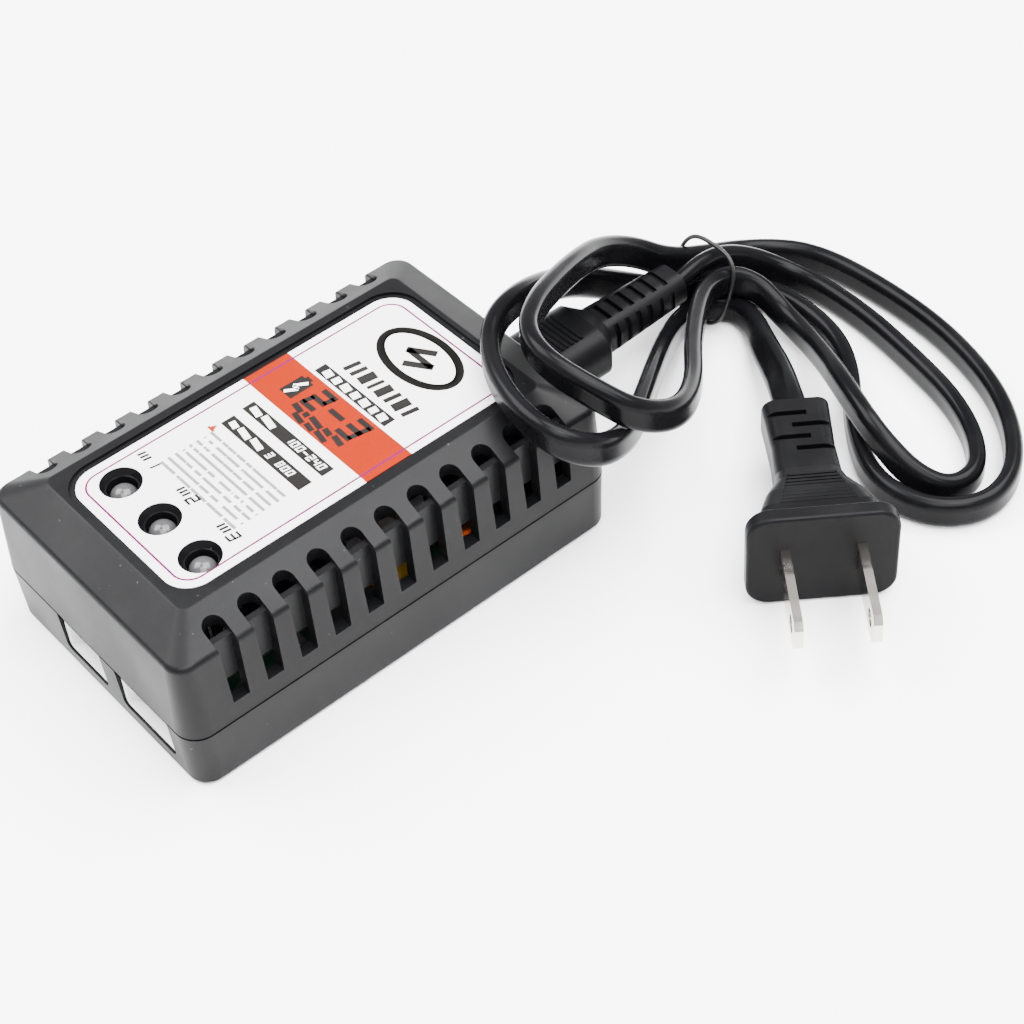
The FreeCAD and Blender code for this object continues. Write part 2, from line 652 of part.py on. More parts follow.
def lamp_legs():
    """Wire legs of the three lamps, down through the board."""
    legs = []
    for x in lamp_places():
        for side in (-1, 1):
            y = LAMP_Y + side * LAMP_LEG_GAP / 2.0
            legs.append(post(x, y, BOARD_Z - SOLDER_SIDE, LAMP_RIM_Z + LAMP_LEG_SEAT, LAMP_LEG_R))
    return Part.makeCompound(legs)


# ------------------------------------------------------------------ balance sockets
def pin_places(x, count):
    """X of the pins of one socket."""
    return [x + (number - (count - 1) / 2.0) * PIN_PITCH for number in range(count)]


def pin_drop_y():
    """Y of the part of the socket pins that goes down into the board."""
    return SOCKET_FACE_Y + SOCKET_DEEP + PIN_SIDE


def socket_housing(x, wide, count):
    """Nylon header: rounded box open to the front, stepped over the edge of the board."""
    half = wide / 2.0
    middle = (SOCKET_LOW_Z + SOCKET_TOP_Z) / 2.0
    half_high = (SOCKET_TOP_Z - SOCKET_LOW_Z) / 2.0
    back = SOCKET_FACE_Y + SOCKET_DEEP
    body = upright_plate(half, half_high, SOCKET_R - SOCKET_GAP, SOCKET_FACE_Y, back, middle, x)
    cavity = upright_plate(
        half - SOCKET_WALL,
        half_high - SOCKET_WALL,
        SOCKET_CAVITY_R,
        SOCKET_FACE_Y - 1.0,
        back - SOCKET_BACK_THICK,
        middle,
        x,
    )
    edge = BOARD_FRONT_Y - SOCKET_GAP
    step = block(x - half - 1.0, x + half + 1.0, edge, back + 1.0, 0.0, BOARD_TOP)
    tools = [cavity, step]
    for side in (-1, 1):
        key_x = x + side * (half - SOCKET_WALL - 1.5)
        key_half = SOCKET_KEY_WIDE / 2.0
        key_end = SOCKET_FACE_Y + SOCKET_DEEP / 2.0
        front = SOCKET_FACE_Y - 1.0
        tools.append(block(key_x - key_half, key_x + key_half, front, key_end, middle, SPLIT_Z))
    reach = PIN_SIDE / 2.0 + PIN_FIT
    for pin_x in pin_places(x, count):
        low, high = PIN_Z - reach, PIN_Z + reach
        tools.append(block(pin_x - reach, pin_x + reach, back - 4.0, back + 1.0, low, high))
    return cut(body, tools)


def socket_pins(x, count):
    """Square pins of one header, bent down into the board behind it."""
    half = PIN_SIDE / 2.0
    drop = pin_drop_y()
    tip = SOCKET_FACE_Y + PIN_NOSE_SINK
    pins = []
    for pin_x in pin_places(x, count):
        run = block(pin_x - half, pin_x + half, tip, drop + half, PIN_Z - half, PIN_Z + half)
        foot = block(pin_x - half, pin_x + half, drop - half, drop + half, BOARD_Z - SOLDER_SIDE, PIN_Z)
        pins.append(join([run, foot]))
    return Part.makeCompound(pins)


# ------------------------------------------------------------------ mains inlet
def mains_inlet():
    """Moulded inlet: flat-sided oval well with two poles through its floor."""
    half_wide = INLET_HALF_WIDE + INLET_WALL
    half_high = INLET_HALF_HIGH + INLET_WALL
    low = INLET_FLOOR_Y - INLET_BASE
    body = upright_plate(half_wide, half_high, 1.2, low, INLET_END_Y, INLET_Z)
    well = upright_plate(
        INLET_HALF_WIDE,
        INLET_HALF_HIGH,
        INLET_HALF_HIGH - 0.05,
        INLET_FLOOR_Y,
        INLET_END_Y + 1.0,
        INLET_Z,
    )
    tools = [well]
    for side in (-1, 1):
        x = side * POLE_PITCH / 2.0
        tools.append(rod(x, INLET_Z, low - 1.0, INLET_FLOOR_Y + 1.0, POLE_R + PIN_FIT))
    return cut(body, tools)


def inlet_pins():
    """Two round poles with wire tails bent down into the board."""
    low = INLET_FLOOR_Y - POLE_BACK
    end = INLET_FLOOR_Y + POLE_LONG
    poles = []
    for side in (-1, 1):
        x = side * POLE_PITCH / 2.0
        pole = rod(x, INLET_Z, low, end - POLE_R, POLE_R)
        nose = Part.makeSphere(POLE_R, Vector(x, end - POLE_R, INLET_Z))
        tail = rod(x, INLET_Z, TAIL_Y, low, TAIL_R)
        elbow = Part.makeSphere(TAIL_R, Vector(x, TAIL_Y, INLET_Z))
        foot = post(x, TAIL_Y, BOARD_Z - SOLDER_SIDE, INLET_Z, TAIL_R)
        poles.append(join([pole, nose, tail, elbow, foot]))
    return Part.makeCompound(poles)


# ------------------------------------------------------------------ mains lead
def lead_connector():
    """Moulded connector: oval nose, wide grip with ridges, tapering neck with strain relief."""
    nose_wide = INLET_HALF_WIDE - NOSE_CLEAR
    nose_high = INLET_HALF_HIGH - NOSE_CLEAR
    nose_end = GRIP_START_Y + 1.0
    nose = upright_plate(nose_wide, nose_high, nose_high - 0.05, NOSE_START_Y, nose_end, INLET_Z)
    grip_end = GRIP_START_Y + GRIP_LONG
    sections = [
        upright_wire(GRIP_HALF_WIDE - 0.5, GRIP_HALF_HIGH - 0.5, GRIP_R - 0.5, GRIP_START_Y, INLET_Z),
        upright_wire(GRIP_HALF_WIDE, GRIP_HALF_HIGH, GRIP_R, GRIP_START_Y + 0.6, INLET_Z),
        upright_wire(GRIP_HALF_WIDE, GRIP_HALF_HIGH, GRIP_R, grip_end, INLET_Z),
        upright_wire(NECK_HALF_WIDE, NECK_HALF_HIGH, NECK_R, NECK_START_Y, INLET_Z),
        upright_wire(NECK_END_WIDE, NECK_END_HIGH, NECK_R, NECK_END_Y, INLET_Z),
    ]
    body = join([nose, Part.makeLoft(sections, True, True)])
    ribs = []
    top = INLET_Z + GRIP_HALF_HIGH
    low = INLET_Z - GRIP_HALF_HIGH
    for number in range(GRIP_RIBS):
        y = GRIP_START_Y + GRIP_RIB_START + number * GRIP_RIB_PITCH
        end = y + GRIP_RIB_WIDE
        ribs.append(block(-GRIP_RIB_HALF, GRIP_RIB_HALF, y, end, top - 1.0, top + GRIP_RIB_HIGH))
        ribs.append(block(-GRIP_RIB_HALF, GRIP_RIB_HALF, y, end, low - GRIP_RIB_HIGH, low + 1.0))
    body = join([body] + ribs)
    tools = []
    for number in range(RELIEF_COUNT):
        for side in (-1, 1):
            shift = 0.0 if side > 0 else RELIEF_PITCH / 2.0
            y = NECK_START_Y + 1.2 + number * RELIEF_PITCH + shift
            side_x = side * (NECK_HALF_WIDE - RELIEF_DEEP)
            x0, x1 = sorted((side_x, side * (NECK_HALF_WIDE + 1.0)))
            tools.append(block(x0, x1, y, y + RELIEF_CUT, 0.0, 2.0 * INLET_Z))
            face_z = INLET_Z + side * (NECK_HALF_HIGH - RELIEF_DEEP)
            z0, z1 = sorted((face_z, INLET_Z + side * (NECK_HALF_HIGH + 1.0)))
            tools.append(block(-RELIEF_SLOT_HALF, RELIEF_SLOT_HALF, y, y + RELIEF_CUT, z0, z1))
    for side in (-1, 1):
        x = side * POLE_PITCH / 2.0
        seat = NOSE_START_Y + NOSE_FRONT_WALL
        tools.append(rod(x, INLET_Z, NOSE_START_Y - 1.0, seat + 0.1, POLE_R + NOSE_CLEAR))
        tools.append(rod(x, INLET_Z, seat, seat + CONTACT_LONG + 0.2, CONTACT_R + CONTACT_GAP))
    seat_y = NECK_END_Y - CORD_SEAT
    tools.append(rod(0.0, INLET_Z, seat_y - CORD_SEAT_CLEAR, NECK_END_Y + 1.0, CORD_R + CORD_SEAT_CLEAR))
    return cut(body, tools)


def connector_contacts():
    """Two spring sleeves inside the nose that grip the poles of the inlet."""
    sleeves = []
    start = NOSE_START_Y + NOSE_FRONT_WALL + 0.1
    for side in (-1, 1):
        x = side * POLE_PITCH / 2.0
        sleeve = rod(x, INLET_Z, start, start + CONTACT_LONG, CONTACT_R)
        bore = rod(x, INLET_Z, start - 1.0, start + CONTACT_LONG + 1.0, POLE_R + POLE_CLEAR)
        sleeves.append(sleeve.cut(bore))
    return Part.makeCompound(sleeves)


def cord_path(points):
    """Straight runs joined by tangent arcs through the route's corners."""
    corners = [Vector(x, y + LEAD_SHIFT, z) for x, y, z in points]
    edges = []
    radii = []
    start = corners[0]
    for before, corner, after in zip(corners, corners[1:], corners[2:]):
        back = before - corner
        ahead = after - corner
        shorter = min(back.Length, ahead.Length)
        back.normalize()
        ahead.normalize()
        turn = math.pi - back.getAngle(ahead)
        reach = 0.45 * shorter
        radius = reach / math.tan(turn / 2.0)
        first = corner + back * reach
        last = corner + ahead * reach
        bisector = back + ahead
        bisector.normalize()
        depth = radius / math.cos(turn / 2.0) - radius
        middle = corner + bisector * depth
        edges.append(Part.LineSegment(start, first).toShape())
        edges.append(Part.Arc(first, middle, last).toShape())
        radii.append(radius)
        start = last
    edges.append(Part.LineSegment(start, corners[-1]).toShape())
    return Part.Wire(edges), radii


def mains_cord():
    """The cord as a round tube along its route."""
    path, radii = cord_path(CORD_ROUTE)
    first = Vector(*CORD_ROUTE[0])
    direction = Vector(*CORD_ROUTE[1]) - first
    start = first + Vector(0, LEAD_SHIFT, 0)
    ring = Part.Wire(Part.makeCircle(CORD_R, start, direction))
    tube = path.makePipeShell([ring], True, False)
    section = math.pi * CORD_R * CORD_R
    smallest = [round(radius, 1) for radius in sorted(radii)[:8]]
    print("cord length", round(path.Length, 1), "smallest radii", smallest)
    print("cord volume", round(tube.Volume, 1), "section x length", round(section * path.Length, 1))
    return tube


def cord_tie():
    """Thin loop that holds the folded cord."""
    lean = math.radians(TIE_LEAN)
    axis = Vector(0, -math.cos(lean), math.sin(lean))
    return Part.makeTorus(TIE_R, TIE_WIRE_R, Vector(TIE_X, TIE_Y + LEAD_SHIFT, TIE_Z), axis)


def place_plug(shape):
    """Move a piece built along +Y at the origin to where the plug lies."""
    shape.rotate(Vector(0, 0, 0), Vector(0, 0, 1), PLUG_HEADING - 90.0)
    shape.translate(Vector(PLUG_X, PLUG_Y + LEAD_SHIFT, PLUG_Z))
    return shape


def plug_body():
    """Moulded plug: flange, ridged bell and neck with staggered grooves."""
    flange = upright_plate(FLANGE_WIDE / 2.0, FLANGE_HIGH / 2.0, FLANGE_R, -FLANGE_THICK, 0.0)
    rim = []
    for edge in flange.Edges:
        box = edge.BoundBox
        if abs(box.YMax - box.YMin) < 1e-4:
            rim.append(edge)
    flange = flange.makeFillet(FLANGE_EDGE_R, rim).Solids[0]
    rear = -FLANGE_THICK - BELL_LONG
    sections = [
        upright_wire(PLUG_NECK_HALF_WIDE + 0.2, PLUG_NECK_HALF_HIGH, PLUG_NECK_R, -PLUG_LONG),
        upright_wire(PLUG_NECK_HALF_WIDE - 0.2, PLUG_NECK_HALF_HIGH, PLUG_NECK_R, -PLUG_LONG + 10.0),
        upright_wire(PLUG_NECK_HALF_WIDE, PLUG_NECK_HALF_HIGH + 0.3, PLUG_NECK_R, rear),
    ]
    for along, wide, high in BELL_FLARE:
        y = rear + along * BELL_LONG
        sections.append(upright_wire(wide * BELL_HALF_WIDE, high * BELL_HALF_HIGH, PLUG_NECK_R, y))
    sections.append(upright_wire(BELL_HALF_WIDE, BELL_HALF_HIGH, PLUG_NECK_R, -FLANGE_THICK + 0.5))
    body = join([flange, Part.makeLoft(sections, True, True)])
    ribs = []
    for number in range(PLUG_RIBS):
        part = number / (PLUG_RIBS - 1.0)
        y = rear + 0.18 * BELL_LONG + number * PLUG_RIB_PITCH
        half = PLUG_NECK_HALF_WIDE - 1.5 + part * 2.2
        reach = 0.68 * BELL_HALF_HIGH + part * 0.24 * BELL_HALF_HIGH + PLUG_RIB_HIGH
        ribs.append(block(-half, half, y, y + PLUG_RIB_WIDE, -reach, reach))
    body = join([body] + ribs)
    tools = []
    for number in range(PLUG_GROOVES):
        side = 1 if number % 2 == 0 else -1
        y = -PLUG_LONG + 3.0 + number * PLUG_GROOVE_PITCH
        x0, x1 = sorted((-side * PLUG_NECK_HALF_WIDE * 0.25, side * (PLUG_NECK_HALF_WIDE + 2.0)))
        for face in (-1, 1):
            z = face * (PLUG_NECK_HALF_HIGH - PLUG_GROOVE_DEEP)
            z0, z1 = sorted((z, face * (PLUG_NECK_HALF_HIGH + 1.0)))
            tools.append(block(x0, x1, y, y + PLUG_GROOVE_WIDE, z0, z1))
    seat_end = -PLUG_LONG + CORD_SEAT + CORD_SEAT_CLEAR
    tools.append(rod(0.0, 0.0, -PLUG_LONG - 1.0, seat_end, CORD_R + CORD_SEAT_CLEAR))
    half_thick = BLADE_THICK / 2.0 + BLADE_FIT
    half_wide = BLADE_WIDE / 2.0 + BLADE_FIT
    root = -BLADE_ROOT - BLADE_FIT
    for side in (-1, 1):
        x = side * BLADE_PITCH / 2.0
        tools.append(block(x - half_thick, x + half_thick, root, 1.0, -half_wide, half_wide))
    return place_plug(cut(body, tools))


def plug_blades():
    """Two flat blades with a hole and a narrowed tip."""
    half = BLADE_THICK / 2.0
    wide = BLADE_WIDE / 2.0
    blades = []
    for side in (-1, 1):
        x = side * BLADE_PITCH / 2.0
        outline = [
            Vector(x - half, -BLADE_ROOT, -wide),
            Vector(x - half, BLADE_LONG - BLADE_TIP_CUT, -wide),
            Vector(x - half, BLADE_LONG, -wide + BLADE_TIP_CUT),
            Vector(x - half, BLADE_LONG, wide - BLADE_TIP_CUT),
            Vector(x - half, BLADE_LONG - BLADE_TIP_CUT, wide),
            Vector(x - half, -BLADE_ROOT, wide),
            Vector(x - half, -BLADE_ROOT, -wide),
        ]
        blade = Part.Face(Part.makePolygon(outline)).extrude(Vector(BLADE_THICK, 0, 0))
        hole_at = Vector(x - 2.0 * half, BLADE_LONG - BLADE_HOLE_BACK, 0)
        hole = Part.makeCylinder(BLADE_HOLE_R, 4.0 * half, hole_at, Vector(1, 0, 0))
        blades.append(blade.cut(hole))
    return place_plug(Part.makeCompound(blades))


# ------------------------------------------------------------------ circuit board
def circuit_board():
    """Board with holes for every pin that passes through it."""
    middle = (BOARD_FRONT_Y + BOARD_REAR_Y) / 2.0
    half = (BOARD_REAR_Y - BOARD_FRONT_Y) / 2.0
    board = plate(BOARD_HALF_WIDE, half, 1.0, BOARD_Z, BOARD_TOP, (0.0, middle))
    tools = []
    pin_r = PIN_SIDE / 2.0 * math.sqrt(2.0) + HOLE_CLEAR / 2.0
    below = BOARD_Z - 1.0
    above = BOARD_TOP + 1.0
    for x, count in ((SOCKET_2S_X, SOCKET_2S_PINS), (SOCKET_3S_X, SOCKET_3S_PINS)):
        for pin_x in pin_places(x, count):
            tools.append(post(pin_x, pin_drop_y(), below, above, pin_r))
    for side in (-1, 1):
        tools.append(post(side * POLE_PITCH / 2.0, TAIL_Y, below, above, TAIL_R + HOLE_CLEAR))
        for x in lamp_places():
            y = LAMP_Y + side * LAMP_LEG_GAP / 2.0
            tools.append(post(x, y, below, above, LAMP_LEG_R + HOLE_CLEAR))
    return cut(board, tools)


def standing_can(x, y, radius, high):
    """Electrolytic capacitor standing on the board, with the groove near its foot."""
    body = post(x, y, BOARD_TOP, BOARD_TOP + high, radius)
    groove = Part.makeTorus(radius + 0.35, 0.6, Vector(x, y, BOARD_TOP + 2.2), Vector(0, 0, 1))
    top = BOARD_TOP + high
    reach = radius * 0.6
    vent = join([
        block(x - reach, x + reach, y - 0.15, y + 0.15, top - 0.2, top + 1.0),
        block(x - 0.15, x + 0.15, y - reach, y + reach, top - 0.2, top + 1.0),
    ])
    return cut(body, [groove, vent])


def box_on_board(x, y, long_x, long_y, high):
    """Plain moulded box standing on the board."""
    return plate(long_x / 2.0, long_y / 2.0, 0.3, BOARD_TOP, BOARD_TOP + high, (x, y))


def package(x, y, wide, long_y, high, count, pitch):
    """Chip package with a row of leads on each long side."""
    lift = LEAD_HIGH / 2.0
    body = plate(wide / 2.0, long_y / 2.0, 0.2, BOARD_TOP + lift, BOARD_TOP + lift + high, (x, y))
    parts = [body]
    for number in range(count):
        lead_y = y + (number - (count - 1) / 2.0) * pitch
        half = LEAD_WIDE / 2.0
        reach = wide / 2.0 + LEAD_REACH
        top = BOARD_TOP + LEAD_HIGH
        parts.append(block(x - reach, x + reach, lead_y - half, lead_y + half, BOARD_TOP, top))
    return join(parts)


def fuse():
    """Glass fuse held above the board on its two wire legs."""
    z = BOARD_TOP + FUSE_LIFT
    start = FUSE_X - FUSE_LONG / 2.0
    tube = Part.makeCylinder(FUSE_R, FUSE_LONG, Vector(start, FUSE_Y, z), Vector(1, 0, 0))
    parts = [tube]
    for x in (start, start + FUSE_LONG - FUSE_CAP_LONG):
        cap = Part.makeCylinder(FUSE_R + 0.2, FUSE_CAP_LONG, Vector(x, FUSE_Y, z), Vector(1, 0, 0))
        parts.append(cap)
        middle = x + FUSE_CAP_LONG / 2.0
        parts.append(post(middle, FUSE_Y, BOARD_TOP, z, 0.4))
    return join(parts)


def line_choke():
    """Drum choke with a wound waist."""
    low = post(CHOKE_X, CHOKE_Y, BOARD_TOP, BOARD_TOP + 1.2, CHOKE_R)
    waist = post(CHOKE_X, CHOKE_Y, BOARD_TOP + 1.2, BOARD_TOP + CHOKE_HIGH - 1.2, CHOKE_R - 0.5)
    high = post(CHOKE_X, CHOKE_Y, BOARD_TOP + CHOKE_HIGH - 1.2, BOARD_TOP + CHOKE_HIGH, CHOKE_R)
    return join([low, waist, high])


def core_window():
    """Heights of the window of the transformer core, between its outer legs."""
    return BOARD_TOP + CORE_LEG, BOARD_TOP + CORE_HIGH - CORE_LEG


def transformer_core():
    """Closed ferrite core: two yokes, outer legs above and below, centre leg through the winding."""
    low, high = core_window()
    half_x = CORE_WIDE / 2.0
    half_y = CORE_LONG / 2.0
    front = CORE_Y - half_y
    rear = CORE_Y + half_y
    outer = block(CORE_X - half_x, CORE_X + half_x, front, rear, BOARD_TOP, BOARD_TOP + CORE_HIGH)
    wide = half_x + 1.0
    window = block(CORE_X - wide, CORE_X + wide, front + CORE_LEG, rear - CORE_LEG, low, high)
    middle = (low + high) / 2.0
    leg_half = BOBBIN_HOLE_WIDE / 2.0 - WINDING_GAP
    leg = block(CORE_X - leg_half, CORE_X + leg_half, front, rear, middle - 1.8, middle + 1.8)
    return join([outer.cut(window), leg])


def transformer_winding():
    """Tape-wrapped winding round the centre leg."""
    low, high = core_window()
    middle = (low + high) / 2.0
    half_high = (high - low) / 2.0 - WINDING_GAP
    inner_y = CORE_LONG / 2.0 - CORE_LEG - WINDING_GAP
    front = CORE_Y - inner_y
    rear = CORE_Y + inner_y
    body = upright_plate(WINDING_WIDE / 2.0, half_high, 3.0, front, rear, middle, CORE_X)
    hole = upright_plate(
        BOBBIN_HOLE_WIDE / 2.0,
        1.8 + WINDING_GAP,
        0.2,
        front - 1.0,
        rear + 1.0,
        middle,
        CORE_X,
    )
    return body.cut(hole)


def row_on_board(x, y, count, pitch, long_x, long_y, high):
    """Row of small chips along +X."""
    return Part.makeCompound([box_on_board(x + n * pitch, y, long_x, long_y, high) for n in range(count)])


def main():
    """Build every node and write it out."""
    os.makedirs("parts", exist_ok=True)
    export("upper_shell", upper_shell())
    export("lower_shell", lower_shell())
    export("case_screws", case_screws())
    export("label", label())
    for number, x in enumerate(lamp_places()):
        export("led_" + str(number + 1), lamp(x))
    export("led_legs", lamp_legs())
    export("socket_2s", socket_housing(SOCKET_2S_X, SOCKET_2S_WIDE, SOCKET_2S_PINS))
    export("socket_3s", socket_housing(SOCKET_3S_X, SOCKET_3S_WIDE, SOCKET_3S_PINS))
    export("contacts_2s", socket_pins(SOCKET_2S_X, SOCKET_2S_PINS))
    export("contacts_3s", socket_pins(SOCKET_3S_X, SOCKET_3S_PINS))
    export("mains_inlet", mains_inlet())
    export("inlet_pins", inlet_pins())
    export("circuit_board", circuit_board())
    export("fuse", fuse())
    export("bridge_rectifier", box_on_board(BRIDGE_X, BRIDGE_Y, BRIDGE_LONG, BRIDGE_WIDE, BRIDGE_HIGH))
    export("film_capacitor", box_on_board(FILM_X, FILM_Y, FILM_LONG, FILM_WIDE, FILM_HIGH))
    export("line_choke", line_choke())
    export("bulk_capacitor", standing_can(BULK_X, BULK_Y, BULK_R, BULK_HIGH))
    export("transformer_core", transformer_core())
    export("transformer_winding", transformer_winding())
    wide_pitch = 2.0 * LEAD_PITCH
    chip = package(CHIP_X, CHIP_Y, CHIP_WIDE, CHIP_LONG, CHIP_HIGH, LEAD_COUNT, wide_pitch)
    export("switching_chip", chip)
    export("optocoupler", package(OPTO_X, OPTO_Y, CHIP_WIDE, OPTO_LONG, CHIP_HIGH, 2, wide_pitch))
    rectifier = box_on_board(RECTIFIER_X, RECTIFIER_Y, RECTIFIER_LONG, RECTIFIER_WIDE, RECTIFIER_HIGH)
    export("output_rectifier", rectifier)
    cans = []
    for number in range(2):
        x = OUTPUT_CAP_X + number * OUTPUT_CAP_PITCH
        cans.append(standing_can(x, OUTPUT_CAP_Y, OUTPUT_CAP_R, OUTPUT_CAP_HIGH))
    export("output_capacitors", Part.makeCompound(cans))
    chips = []
    for number in range(CONTROLLER_COUNT):
        y = CONTROLLER_Y - number * CONTROLLER_PITCH
        chip = package(
            CONTROLLER_X,
            y,
            CONTROLLER_WIDE,
            CONTROLLER_LONG,
            CONTROLLER_HIGH,
            LEAD_COUNT,
            LEAD_PITCH,
        )
        chips.append(chip)
    export("charge_controllers", Part.makeCompound(chips))
    export(
        "balance_resistors",
        row_on_board(
            RESISTOR_X,
            RESISTOR_Y,
            RESISTOR_COUNT,
            RESISTOR_PITCH,
            RESISTOR_LONG,
            RESISTOR_WIDE,
            RESISTOR_HIGH,
        ),
    )
    export(
        "charge_transistors",
        row_on_board(
            TRANSISTOR_X,
            TRANSISTOR_Y,
            TRANSISTOR_COUNT,
            TRANSISTOR_PITCH,
            TRANSISTOR_LONG,
            TRANSISTOR_WIDE,
            TRANSISTOR_HIGH,
        ),
    )
    export("lead_connector", lead_connector())
    export("connector_contacts", connector_contacts())
    export("mains_cord", mains_cord())
    export("cord_tie", cord_tie())
    export("plug_body", plug_body())
    export("plug_blades", plug_blades())


main()
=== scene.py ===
import logging
import math
from dataclasses import dataclass, field
from enum import Enum

import bpy
import numpy as np
from mathutils import Matrix, Vector


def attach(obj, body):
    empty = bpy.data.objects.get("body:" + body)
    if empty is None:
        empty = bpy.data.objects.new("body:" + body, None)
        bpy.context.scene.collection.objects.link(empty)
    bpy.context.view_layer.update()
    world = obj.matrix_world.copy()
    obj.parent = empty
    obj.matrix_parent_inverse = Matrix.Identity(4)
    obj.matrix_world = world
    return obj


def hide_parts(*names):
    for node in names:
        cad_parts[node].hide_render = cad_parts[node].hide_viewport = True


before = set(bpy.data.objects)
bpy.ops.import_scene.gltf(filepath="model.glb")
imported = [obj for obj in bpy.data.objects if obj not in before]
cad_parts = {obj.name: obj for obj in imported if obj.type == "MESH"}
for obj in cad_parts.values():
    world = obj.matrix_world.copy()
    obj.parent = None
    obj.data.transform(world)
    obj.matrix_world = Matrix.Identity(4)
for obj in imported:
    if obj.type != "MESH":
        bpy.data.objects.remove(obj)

MM = 0.001
TURN = 2.0 * math.pi
MIDDLE = (0.3, 0.7)  # where smooth noise mostly lies
LOG = logging.getLogger("charger")


# ------------------------------------------------------------------ named options
class Body(Enum):
    """The two bodies that move against each other."""

    CHARGER = "charger"
    LEAD = "mains_lead"


class Op(Enum):
    """Operations of the shader's math node."""

    ADD = "ADD"
    SUB = "SUBTRACT"
    MUL = "MULTIPLY"
    DIV = "DIVIDE"
    MIN = "MINIMUM"
    MAX = "MAXIMUM"
    LESS = "LESS_THAN"
    MORE = "GREATER_THAN"
    ABS = "ABSOLUTE"
    FLOOR = "FLOOR"
    FRACT = "FRACT"
    ROOT = "SQRT"


Color = tuple[float, float, float]
Socket = bpy.types.NodeSocket


